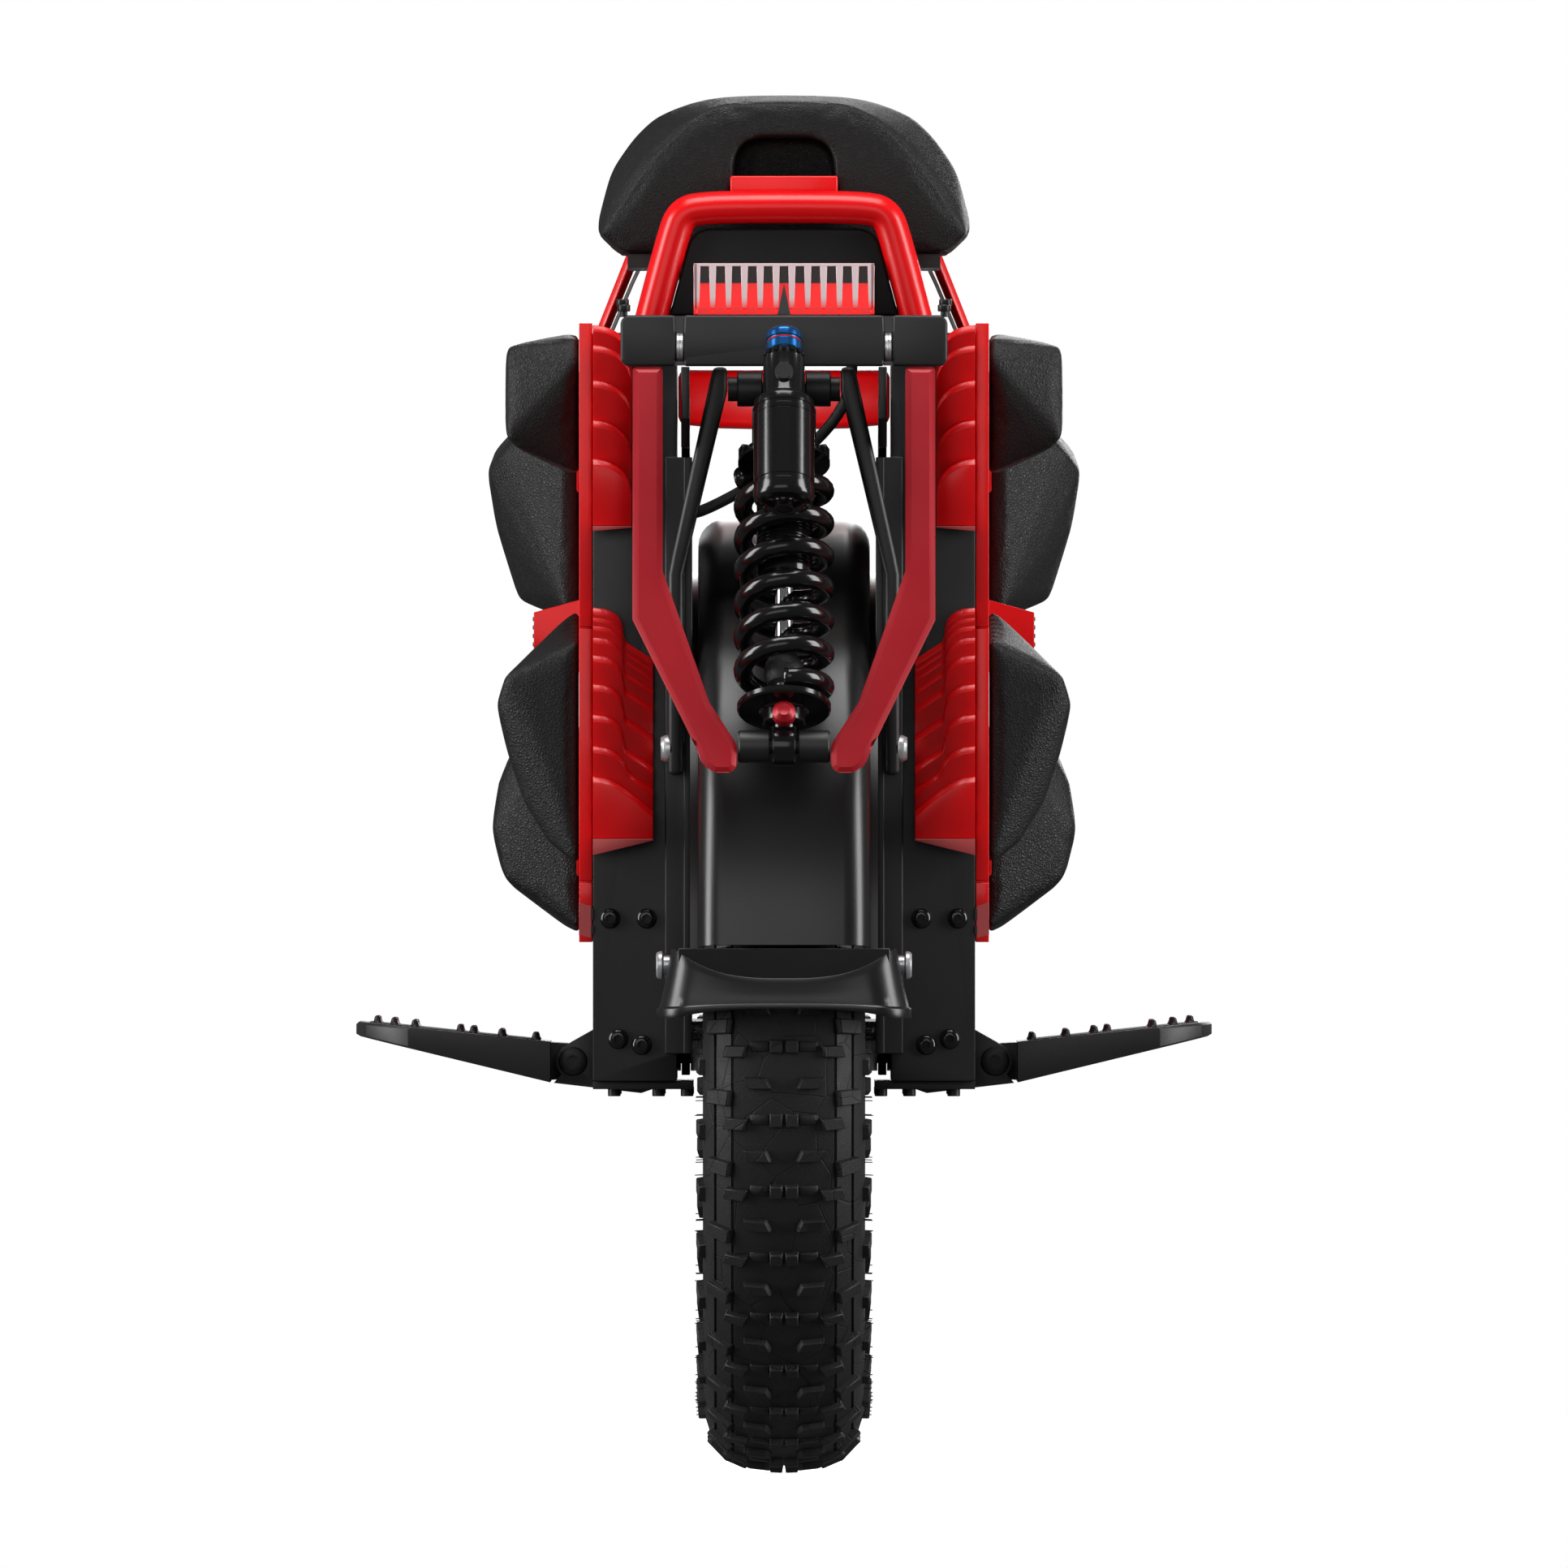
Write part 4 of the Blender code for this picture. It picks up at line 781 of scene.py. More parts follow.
BORE_X = 0.0445 - 0.0072
for side, sign in SIDES:
    node = "link_arm_" + side
    arm = copy_of(node, "milled_arm_" + side)
    chamfer_rear(arm, 0.0024)
    cutter = lathe("bore", [(0.0, BORE_X), (0.0066, BORE_X), (0.0066, 0.0600), (0.0, 0.0600)],
                   (0, LOWER_EYE.y, LOWER_EYE.z), (sign, 0, 0), 40)
    carve(arm, cutter)
    round_edges(arm, 0.0003, 2, 20)
    bpy.ops.object.shade_smooth_by_angle(angle=math.radians(16))
    dress(arm, CRIMSON, node, "crimson")
    screw = lathe("arm_screw_" + side, [
        (0.0, 0.0372), (0.0058, 0.0372), (0.0058, 0.0402), (0.0052, 0.0408), (0.0028, 0.0408),
        (0.0026, 0.0390), (0.0, 0.0390)], (0, LOWER_EYE.y, LOWER_EYE.z), (sign, 0, 0), 32)
    add_trim(screw, CRIMSON, "carriage")
print("arms milled")

# %% [markdown]
# ## Crossbeam bolts
# A big bolt head sits in each gap of the crossbeam, with a dark neck behind it that joins the two
# halves. Two small cap screws stand on top, near each end.

# %% Crossbeam bolts
beam_low, beam_high = corners("crossbeam")
BEAM_Y = (beam_low.y + beam_high.y) / 2
beam = bpy.data.objects["shell_crossbeam"]
for side, sign in SIDES:
    pocket = side_block("pocket", sign, 0.0529, 0.0577, (beam_low.y - 0.001, beam_low.z - 0.001),
                        (beam_low.y + 0.0085, beam_high.z + 0.001))
    carve(beam, pocket)
    bolt = lathe("beam_bolt_" + side, [
        (0.0, 0.0532), (0.0070, 0.0532), (0.0076, 0.0537), (0.0076, 0.0549), (0.0073, 0.0552),
        (0.0076, 0.0555), (0.0076, 0.0567), (0.0070, 0.0572), (0.0, 0.0572)],
        (0, BEAM_Y - 0.0001, beam_low.z + 0.0102), (sign, 0, 0), 48)
    add_trim(bolt, STEEL, "carriage")
    neck = side_block("beam_neck_" + side, sign, 0.0526, 0.0580,
                      (beam_low.y + 0.0087, beam_low.z + 0.0004),
                      (beam_high.y - 0.0006, beam_high.z - 0.0004))
    add_trim(neck, GLOSS, "carriage")
    for x, y, lift in ((0.0848, 0.001, 0.0), (0.0855, 0.006, 0.003)):
        screw = lathe("cap_screw", [(0.0, 0.0), (0.0019, 0.0), (0.0019, 0.0030), (0.0032, 0.0030),
                                    (0.0034, 0.0034), (0.0034, 0.0062), (0.0030, 0.0066), (0.0, 0.0066)],
                      (sign * x, BEAM_Y + y, beam_high.z - 0.0010 + lift), (0, 0, 1), 24)
        screw.name = "cap_screw_%s_%d" % (side, int(lift * 1000))
        add_trim(screw, GUNMETAL, "carriage")

# %% [markdown]
# ## The tyre
# The carcass is a profile spun about the axle. A knob is a small block, laid out flat as one row of
# the tread, and every row is then wrapped around the carcass: across becomes the place on the profile,
# along becomes the angle, and height follows the profile's normal.

# %% Tyre carcass
ROWS = 36
PITCH = math.tau / ROWS
crown = TYRE_R - 0.0040
half_section = [
    (crown, 0.0), (crown - 0.0004, 0.0090), (crown - 0.0015, 0.0180), (crown - 0.0038, 0.0255),
    (crown - 0.0073, 0.0312), (crown - 0.0125, 0.0362), (crown - 0.0190, 0.0398),
    (crown - 0.0270, 0.0422), (crown - 0.0360, 0.0430), (crown - 0.0450, 0.0426),
    (crown - 0.0540, 0.0412), (crown - 0.0610, 0.0398),
    (crown - 0.0635, 0.0400), (crown - 0.0655, 0.0388), (0.1530, 0.0372), (0.1508, 0.0358)]
inside = [(0.1508, 0.0240), (0.1700, 0.0330), (0.1950, 0.0370), (0.2080, 0.0330), (0.2160, 0.0200),
          (0.2185, 0.0)]
grooved = half_section[:3] + [
    (crown - 0.0038, 0.0262), (crown - 0.0052, 0.0266), (crown - 0.0056, 0.0276),
    (crown - 0.0048, 0.0280), (crown - 0.0073, 0.0312), (crown - 0.0118, 0.0357),
    (crown - 0.0132, 0.0352), (crown - 0.0142, 0.0358), (crown - 0.0136, 0.0370)] + half_section[6:]
section = ([(r, -x) for r, x in reversed(grooved[1:])] + grooved + inside
           + [(r, -x) for r, x in reversed(inside[:-1])])
carcass = lathe("carcass", section, AXLE, (1, 0, 0), 144, ring=True)
print("carcass faces:", len(carcass.data.polygons))

# %% [markdown]
# `on_carcass` finds the place and the normal on the profile for a distance across the tread. Knobs
# lean a little, as they do from the mould, so each block's top is smaller and shifted.

# %% Wrapping the tread
KNOB_TOP = 0.82


def on_carcass(across):
    """Radius, sideways place and normal on the profile, at a distance across the tread."""
    left = abs(across)
    for (r0, x0), (r1, x1) in zip(half_section, half_section[1:]):
        length = math.hypot(r1 - r0, x1 - x0)
        if left <= length:
            part = left / length
            radius, side = r0 + (r1 - r0) * part, x0 + (x1 - x0) * part
            normal = ((x1 - x0) / length, (r0 - r1) / length)
            break
        left -= length
    sign = -1 if across < 0 else 1
    return radius, sign * side, normal[0], sign * normal[1]


def wrap(obj, row):
    for vert in obj.data.vertices:
        across, along, height = vert.co
        radius, side, out, lean = on_carcass(across)
        radius += out * height
        angle = row * PITCH + along / TYRE_R
        vert.co = AXLE + Vector((side + lean * height, -math.cos(angle) * radius,
                                 -math.sin(angle) * radius))


def knob_block(low, high, height, shear):
    """Block on the flat tread whose top is smaller and can be pushed sideways."""
    (x0, s0), (x1, s1) = low, high
    obj = block("knob", (x0, s0, -0.0015), (x1, s1, height))
    middle_x, middle_s = (x0 + x1) / 2, (s0 + s1) / 2
    for vert in obj.data.vertices:
        if vert.co.z > 0:
            vert.co.x = middle_x + (vert.co.x - middle_x) * KNOB_TOP
            vert.co.y = middle_s + (vert.co.y - middle_s) * (KNOB_TOP + 0.06)
        vert.co.x += shear * (vert.co.y - middle_s)
    return round_edges(obj, 0.0005, 1)


# %% [markdown]
# One row of the tread: a split centre block with low wings, a slanted pair further round, and heavier
# shoulder and side knobs that bite in corners.

# %% One row of knobs
S = TYRE_R * PITCH      # length of one row along the ground
row = []
for sign in (-1, 1):
    for x, s, size, height, shear in (
            ((0.0001, 0.0080), 0.00, 0.0078, 0.0039, 0.0),
            ((0.0070, 0.0188), 0.00, 0.0062, 0.0012, 0.0),
            ((0.0072, 0.0206), 0.50, 0.0068, 0.0036, -0.45),
            ((0.0190, 0.0326), 0.07, 0.0070, 0.0038, 0.30),
            ((0.0275, 0.0440), 0.72, 0.0092, 0.0040, 0.12),
            ((0.0530, 0.0680), 0.32, 0.0108, 0.0036, 0.0)):
        x0, x1 = sorted((sign * x[0], sign * x[1]))
        row.append(knob_block((x0, s * S - size / 2), (x1, s * S + size / 2), height, sign * shear))
pin = lathe("vent_pin", [(0.0, 0.0), (0.00035, 0.0), (0.00030, 0.0045), (0.0, 0.0045)],
            (0, 0, 0), (0, 0, 1), 5)
pins = [Matrix.Translation((sign * across, s * S, -0.0002)) for sign in (-1, 1)
        for across, s in ((0.0560, 0.78), (0.0600, 0.86), (0.0640, 0.12))]
row.append(copies(pin, pins, "vent_pins"))
row = joined(row, "tread_row")

# %% [markdown]
# The row is copied all the way round, each copy wrapped on by itself, and the tread is then joined
# with the carcass so that the tyre stays one piece.

# %% All the rows
rows = []
for number in range(ROWS):
    twin = twin_of(row)
    wrap(twin, number)
    rows.append(twin)
bpy.data.objects.remove(row)
tread = joined(rows, "tread")
outward(tread)
settle(tread, "tread")
tyre = joined([carcass, tread], "knobbly_tyre")
dress(tyre, TYRE_RUBBER, "tyre", "rubber")
low = min(vert.co.z for vert in tyre.data.vertices)
print("tyre faces:", len(tyre.data.polygons), "lowest point", round(low, 5))

# %% [markdown]
# The wheel's metal: the rim, two motor covers, and a bolt circle that holds each cover.

# %% Rim and motor covers
for node in ("rim", "motor_cover_left", "motor_cover_right"):
    metal = copy_of(node, "turned_" + node)
    round_edges(metal, 0.0008, 2, 35)
    dress(metal, GUNMETAL, node, "dark_metal")
COVER_BOLTS = 10
BOLT_CIRCLE = 0.110
cover_high = Vector(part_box("motor_cover_right")[1])
for side, sign in SIDES:
    bolt = lathe("cover_bolt", [
        (0.0, -0.001), (0.0046, -0.001), (0.0046, 0.0012), (0.0038, 0.0024), (0.0022, 0.0024),
        (0.0020, 0.0012), (0.0, 0.0012)], (0, 0, 0), (1, 0, 0), 20)
    places = []
    for i in range(COVER_BOLTS):
        angle = math.tau * i / COVER_BOLTS
        spot = Vector((sign * (cover_high.x - 0.0030), AXLE.y + BOLT_CIRCLE * math.cos(angle),
                       AXLE.z + BOLT_CIRCLE * math.sin(angle)))
        places.append(Matrix.Translation(spot) @ Matrix.Rotation(0 if sign > 0 else math.pi, 4, "Z"))
    ring = copies(bolt, places, "cover_bolts_" + side)
    add_trim(ring, STEEL, "wheel")

# %% [markdown]
# ## Gill covers
# The red covers are stacks of curved blades, each one standing proud of the blade above it, as scales
# do. A blade is a plate with a rounded top whose lower part leans in under the next blade.

# %% A blade
BEVELLED = 0.0030


def blade(name, top_line, bottom, back, front, lean):
    """Plate under a top line of (x, z) points, leaning in towards its bottom edge."""
    edge = front + BEVELLED
    outline = [Vector((x, edge, z)) for x, z in top_line]
    outline += [Vector((top_line[-1][0], edge, bottom)), Vector((top_line[0][0], edge, bottom))]
    obj = plate(name, outline, Vector((0, back - edge, 0)))
    edit_rear(obj)
    bpy.ops.mesh.extrude_region_move(TRANSFORM_OT_translate={"value": (0, -BEVELLED, 0)})
    done()
    for vert in obj.data.vertices:
        if vert.co.y < front + 0.0001 and vert.co.z > bottom + 0.0005:
            vert.co.z -= BEVELLED * 1.1
    top = max(z for x, z in top_line)
    for vert in obj.data.vertices:
        vert.co.y += (top - vert.co.z) * lean
    return round_edges(obj, 0.0005, 2, 25)


def upper_line(outer, inner, top, drop):
    """Quarter of an oval, from the outer end down to the inner end."""
    return [(outer - (outer - inner) * math.sin(math.radians(a)),
             top - drop * (1 - math.cos(math.radians(a)))) for a in range(0, 91, 9)]


def lower_line(outer, inner, top, plain):
    """Rounded shoulder, a step down, then a run to the inner end. The plain share irons it out."""
    stepped = ((0.0, 0.0), (0.0060, 0.0006), (0.0100, 0.0020), (0.0130, 0.0042), (0.0152, 0.0072),
               (0.0162, 0.0110), (0.0166, 0.0160), (0.0178, 0.0184), (outer - inner, 0.0275))
    ironed = ((0.0, 0.0), (0.0060, 0.0008), (0.0100, 0.0022), (0.0130, 0.0036), (0.0155, 0.0053),
              (0.0180, 0.0070), (0.0205, 0.0088), (0.0240, 0.0115), (outer - inner, 0.0186))
    return [(outer - x0 - (x1 - x0) * plain, top - z0 - (z1 - z0) * plain)
            for (x0, z0), (x1, z1) in zip(stepped, ironed)]


# %% [markdown]
# The upper stack has five blades and the lower one nine, closest together at its top. The last blade
# of each runs down as a smooth panel, and a lip closes both stacks at the bottom. The lip is red with
# a painted sheen that makes it pale.

# %% Gill stacks
GILL_TOPS = {"upper": (0.6100, 0.5994, 0.5806, 0.5595, 0.5391),
             "lower": (0.4603, 0.4566, 0.4520, 0.4452, 0.4352, 0.4198, 0.4036, 0.3869, 0.3708)}
for place, tops in GILL_TOPS.items():
    for side, sign in SIDES:
        node = "gill_cover_%s_%s" % (place, side)
        low, high = corners(node)
        outer, inner = max(abs(low.x), abs(high.x)) + 0.0017, min(abs(low.x), abs(high.x))
        blades = []
        for number, top in enumerate(tops):
            last = number == len(tops) - 1
            if place == "upper":
                line = upper_line(outer, inner, min(top, high.z), 0.0180)
                bottom = low.z + 0.0030 if last else max(top - 0.045, low.z + 0.004)
            else:
                line = lower_line(outer, inner, min(top, high.z), max(0.0, (number - 6) / 2))
                bottom = low.z + 0.0090 if last else max(top - 0.050, low.z + 0.010)
            depth = (0.0006 if place == "upper" else 0.0004) * number
            lean = 0.10 if last else 0.27
            blades.append(blade("blade", line, bottom, high.y - 0.0015 - depth,
                                low.y + 0.0034 - depth, lean))
        shell = joined(blades, "gill_stack_%s_%s" % (place, side))
        for vert in shell.data.vertices:
            vert.co.y = max(low.y, min(high.y, vert.co.y))
        if sign < 0:
            shell.data.transform(MIRROR)
            shell.data.flip_normals()
        dress(shell, RED, node, "panel_red")
        rise = 0.0088 if place == "lower" else 0.0028
        edge = ((outer, low.z), (outer, low.z + rise), (inner, low.z + rise),
                (inner, low.z + rise - 0.0010))
        lip = plate("gill_lip_%s_%s" % (place, side), [(sign * x, low.y + 0.0015, z) for x, z in edge],
                    (0, 0.0120, 0))
        round_edges(lip, 0.0003, 2)
        # The lip's pale red is painted sheen.
        add_trim(lip, SHEEN_RED, "body")
print("gill stacks ready")

# %% [markdown]
# ## Side panels
# The big panels are smooth, with two raised fields each. Thin grooves across their rear edge show where
# the moulding is joined, a slotted chin closes them below, and the vent box in the middle has ribs.

# %% Side panels
PANEL_FIELDS = (((-0.0660, 0.5620), (-0.0540, 0.5860), (0.0360, 0.5860), (0.0500, 0.5700),
                 (0.0500, 0.5220), (-0.0480, 0.5220)),
                ((-0.0600, 0.3920), (0.0580, 0.3920), (0.0580, 0.3340), (0.0420, 0.3180),
                 (-0.0520, 0.3180), (-0.0680, 0.3400)))
for side, sign in SIDES:
    node = "side_panel_" + side
    low, high = corners(node)
    inner = min(abs(low.x), abs(high.x))
    panel = copy_of(node, "moulded_panel_" + side)
    for height, depth in ((0.4495, 0.0016), (0.3150, 0.0014), (0.2992, 0.0008)):
        cutter = block("groove", (sign * inner - 0.02, low.y - 0.01, height - 0.0006),
                       (sign * inner + 0.02, low.y + depth, height + 0.0006))
        carve(panel, cutter)
    round_edges(panel, 0.0012, 3)
    dress(panel, RED, node, "panel_red")
    chin = plate("panel_chin_" + side, [(sign * x, low.y - 0.0003, z) for x, z in (
        (0.1020, 0.2850), (0.1020, 0.3022), (0.1087, 0.3042), (0.1087, 0.2868))], (0, 0.0010, 0))
    round_edges(chin, 0.0002, 1)
    # The chin's pale red is painted sheen.
    add_trim(chin, SHEEN_RED, "body")
    for number, (z0, z1) in enumerate(((0.2950, 0.3005), (0.2875, 0.2915))):
        slot = side_block("chin_slot_%s_%d" % (side, number), sign, 0.1012, 0.1024,
                          (low.y - 0.0005, z0), (low.y + 0.0010, z1))
        add_trim(slot, SATIN, "body")
    rib = block("rib", (-0.0009, -0.0480, -0.0012), (0.0009, 0.0480, 0.0012))
    round_edges(rib, 0.0004, 1)
    bulge = max(abs(low.x), abs(high.x))
    middle_z = (low.z + high.z) / 2 - 0.0015
    face_x = min(abs(x[0]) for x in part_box("pad_lower_rear_" + side)) - 0.0003
    for number, field in enumerate(PANEL_FIELDS):
        raised = plate("panel_field_%s_%d" % (side, number),
                       [(sign * (face_x - 0.0002), y, z) for y, z in field], (sign * 0.0018, 0, 0))
        round_edges(raised, 0.0010, 2)
        add_trim(raised, RED, "body")
    places = [Matrix.Translation((sign * (bulge - 0.0003), 0, middle_z + 0.0045 * i))
              for i in range(-2, 3)]
    ribs = copies(rib, places, "vent_ribs_" + side)
    add_trim(ribs, SATIN, "body")
print("panels ready")

# %% [markdown]
# Button-head screws hold the rear of each case. The head is a low dome with a hexagon socket, which is
# a lathe piece with a six-sided hole carved into it.

# %% Screws and feet
def hex_socket(head, radius, depth, place):
    """Carve a six-sided hole into a screw head that looks along Y."""
    bpy.ops.object.select_all(action="DESELECT")
    bpy.ops.mesh.primitive_cylinder_add(vertices=6, radius=radius, depth=depth, location=place,
                                        rotation=(math.radians(90), 0, 0))
    return carve(head, bpy.context.object)


def button_screw(name, radius, height, socket):
    head = lathe(name, [(0.0, -0.002), (radius, -0.002), (radius, 0.0004),
                        (radius * 0.93, height * 0.55), (radius * 0.72, height * 0.9),
                        (radius * 0.50, height), (0.0, height)], (0, 0, 0), (0, -1, 0), 36)
    return hex_socket(head, socket, height * 2.2, (0, -height, 0))


case_low = Vector(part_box("side_case_right")[0])
REAR = -0.150
head = button_screw("case_screw", 0.0054, 0.0026, 0.0024)
spots = [(sign * x, REAR, z) for sign in (-1, 1)
         for x, z in ((0.0922, 0.2955), (0.0728, 0.2955), (0.0879, 0.2316), (0.0754, 0.2285))]
screws = copies(head, [Matrix.Translation(spot) for spot in spots], "case_screws")
add_trim(screws, GLOSS, "body")
foot = lathe("foot", [(0.0, 0.0), (0.0034, 0.0), (0.0034, 0.0036), (0.0030, 0.0040), (0.0, 0.0040)],
             (0, 0, 0), (0, 0, -1), 24)
base_z = case_low.z - 0.0045
spots = [(sign * x, y, base_z + 0.0002) for sign in (-1, 1) for x in (0.0514, 0.0665, 0.0900)
         for y in (-0.128, 0.112)]
feet = copies(foot, [Matrix.Translation(spot) for spot in spots], "base_feet")
add_trim(feet, SATIN, "body")

# %% [markdown]
# ## Pads and seat
# These are foam under leather. The CAD solid gives the shape of the foam: its edges are rounded, it is
# remeshed to even cells, and the cloth solver puffs the skin a little, so flats become crowned while
# the creases stay where the foam has them. The cap keeps the skin near the foam.

# %% Puffing a skin over foam
PRESSURE = 4.0
PUFF_FRAMES = 14
SKIN_CAP = 0.0010
SNAP = 0.0006


def puff(obj, cap):
    """Inflate the skin with the cloth solver, and hold every point within a distance of its start."""
    scene = bpy.context.scene
    before = [vert.co.copy() for vert in obj.data.vertices]
    pick(obj)
    cloth = obj.modifiers.new("skin", "CLOTH")
    cloth.settings.use_pressure = True
    cloth.settings.uniform_pressure_force = PRESSURE
    cloth.settings.effector_weights.gravity = 0.0
    cloth.settings.quality = 5
    for number in range(1, PUFF_FRAMES + 1):
        scene.frame_set(number)
    bpy.ops.object.modifier_apply(modifier=cloth.name)
    for vert, start in zip(obj.data.vertices, before):
        step = vert.co - start
        if step.length > cap:
            vert.co = start + step * (cap / step.length)
    scene.frame_set(1)


def over_foam(node, name, material, edge, cell, foot, foam=None):
    """Leather over a frame node's foam, or a finer one. Its foot is flat against a side or a floor."""
    skin = foam or copy_of(node, name)
    apply(skin, "BEVEL", width=edge, segments=3, limit_method="ANGLE", angle_limit=math.radians(22))
    apply(skin, "REMESH", mode="VOXEL", voxel_size=cell)
    apply(skin, "SMOOTH", factor=0.5, iterations=3)
    puff(skin, SKIN_CAP)
    apply(skin, "SUBSURF", levels=1, render_levels=1)
    low, high = corners(node)
    for vert in skin.data.vertices:
        if foot == "sides":
            inner = min(abs(low.x), abs(high.x))
            sign = 1 if high.x > 0 else -1
            if abs(vert.co.x) < inner + SNAP:
                vert.co.x = sign * inner
        if foot == "floor" and vert.co.z < low.z + SNAP:
            vert.co.z = low.z
    pick(skin)
    bpy.ops.object.shade_smooth()
    settle(skin, name)
    dress(skin, material, node, "leather")
    return skin


# %% [markdown]
# Eight pads stand against the rider's legs, four on each side. They are all made the same way.

# %% Leg pads
for place in ("upper_rear", "upper_front", "lower_rear", "lower_front"):
    for side, sign in SIDES:
        pad = over_foam("pad_%s_%s" % (place, side), "leather_pad_%s_%s" % (place, side), LEATHER,
                        0.0022, 0.0022, "sides")
print("leg pads ready, last one has", len(pad.data.polygons), "faces")

# %% [markdown]
# The seat's foam is drawn finer than the frame's: its two outlines are run through a smooth curve,
# stood up at four places along the seat and wrapped in a hull. The hand recess is then carved in.
# The finished skin dips a little in the middle, as a saddle does.

# %% Seat
def smooth_route(points, steps):
    """Points on a smooth curve through the given ones."""
    ends = [points[0] * 2 - points[1]] + points + [points[-1] * 2 - points[-2]]
    route = []
    for a, b, c, d in zip(ends, ends[1:], ends[2:], ends[3:]):
        for number in range(steps):
            t = number / steps
            route.append(0.5 * (2 * b + (c - a) * t + (2 * a - 5 * b + 4 * c - d) * t ** 2
                                + (3 * b - 3 * c + d - a) * t ** 3))
    return route + [points[-1]]


def mesh_from(name, points, faces=()):
    """New object from points and faces."""
    obj = bpy.data.objects.new(name, bpy.data.meshes.new(name))
    bpy.context.collection.objects.link(obj)
    obj.data.from_pydata(points, [], faces)
    return obj


SEAT_LOW, SEAT_HIGH = corners("seat_cushion")
FULL = ((0.0996, 0.0104), (0.0957, 0.0256), (0.0914, 0.0416), (0.0849, 0.0526), (0.0762, 0.0636),
        (0.0642, 0.0730), (0.0387, 0.0812), (0.0, 0.0830))
END = ((0.0970, 0.0095), (0.0775, 0.0400), (0.0600, 0.0608), (0.0450, 0.0722), (0.0287, 0.0778),
       (0.0, 0.0790))
cloud = []
for y, half, foot in ((SEAT_LOW.y, END, 0.0860), (-0.0900, FULL, 0.0888), (0.0600, FULL, 0.0888),
                      (SEAT_HIGH.y, END, 0.0860)):
    arch = smooth_route([Vector((x, y, SEAT_LOW.z + z)) for x, z in half]
                        + [Vector((-x, y, SEAT_LOW.z + z)) for x, z in reversed(half[:-1])], 6)
    cloud += arch + [Vector((foot, y, SEAT_LOW.z)), Vector((-foot, y, SEAT_LOW.z))]
foam = mesh_from("foam", cloud)
pick(foam)
bpy.ops.object.mode_set(mode="EDIT")
bpy.ops.mesh.select_all(action="SELECT")
bpy.ops.mesh.convex_hull(join_triangles=True)
done()
outward(foam)
RECESS = ((0.0290, 0.0250), (0.0276, 0.0350), (0.0268, 0.0480), (0.0225, 0.0575), (0.0130, 0.0612),
          (0.0, 0.0616))
recess_line = smooth_route([Vector((x, SEAT_LOW.y - 0.01, SEAT_LOW.z + z)) for x, z in RECESS], 4)
recess_line += [Vector((-point.x, point.y, point.z)) for point in reversed(recess_line[:-1])]
carve(foam, plate("recess", recess_line, (0, 0.0360, 0)))
cushion = over_foam("seat_cushion", "leather_seat", SEAT_LEATHER, 0.0016, 0.0023, "floor", foam)
DIP, DIP_REACH = 0.0065, 0.080
for vert in cushion.data.vertices:
    along = max(0.0, 1.0 - ((vert.co.y + 0.005) / DIP_REACH) ** 2)
    rise = max(0.0, (vert.co.z - SEAT_LOW.z - 0.030) / 0.053)
    vert.co.z -= DIP * along ** 2 * rise
print("seat faces:", len(cushion.data.polygons))

# %% [markdown]
# ## Hoops
# A bent tube is a path with a round section. The path is traced as a mesh of edges, turned into a
# curve, given its thickness and turned back into a mesh. Corners are first rounded by cutting them.

# %% Pipes
def rounded_path(points, rounds=3):
    """Cut every corner of an open path, a few times over, and keep its ends."""
    points = [Vector(point) for point in points]
    for _ in range(rounds):
        fresh = [points[0]]
        for here, there in zip(points, points[1:]):
            fresh += [here.lerp(there, 0.25), here.lerp(there, 0.75)]
        points = fresh + [points[-1]]
    return points


def pipe(name, points, radius, resolution=6):
    """Tube along a path of points."""
    obj = trace([Vector(point) for point in points])
    done()
    bpy.ops.object.convert(target="CURVE")
    obj = bpy.context.object
    obj.data.bevel_depth = radius
    obj.data.bevel_resolution = resolution
    obj.data.use_fill_caps = True
    bpy.ops.object.convert(target="MESH")
    outward(obj)
    settle(obj, name)
    bpy.ops.object.shade_smooth_by_angle(angle=math.radians(40))
    return obj


# %% [markdown]
# The rear hoop is a thick tube, deeper than it is wide. It stands on the cases and frames the tail
# light. The front hoop is a flatter moulding with a white strip along its inner edge.

# %% Hoops
low, high = corners("rear_hoop")
depth = (high.y - low.y) / 2
tube = 0.0088
leg, foot, top = high.x, low.z, high.z
bend = [(leg - 0.0083, foot), (leg - 0.0215, top - 0.0255), (leg - 0.0262, top - 0.0125),
        (leg - 0.0370, top - 0.0094), (0.0, top - 0.0089)]
line = [(x, 0, z) for x, z in bend] + [(-x, 0, z) for x, z in reversed(bend[:-1])]
hoop = pipe("rear_grab_hoop", rounded_path(line), tube, 9)
for vert in hoop.data.vertices:
    vert.co.y = (low.y + high.y) / 2 + vert.co.y * depth / tube
    vert.co.z = max(vert.co.z, foot)
dress(hoop, RED, "rear_hoop", "panel_red")
front_low, front_high = corners("front_hoop")
leg, foot, top = front_high.x, front_low.z, front_high.z
strip_y = front_low.y + 0.004
strip = [(leg - 0.0082, strip_y, foot + 0.002), (leg - 0.0252, strip_y, foot + 0.0425),
         (leg - 0.0470, strip_y, top - 0.0155), (leg - 0.0540, strip_y, top - 0.0112)]
for side, sign in SIDES:
    route = [(sign * x, y, z) for x, y, z in rounded_path(strip, 2)]
    trim = pipe("hoop_strip_" + side, route, 0.0011, 3)
    add_trim(trim, WHITE_TRIM, "body")
print("hoops ready")

# %% [markdown]
# A short red tab stands between the hoop and the hand recess of the seat.

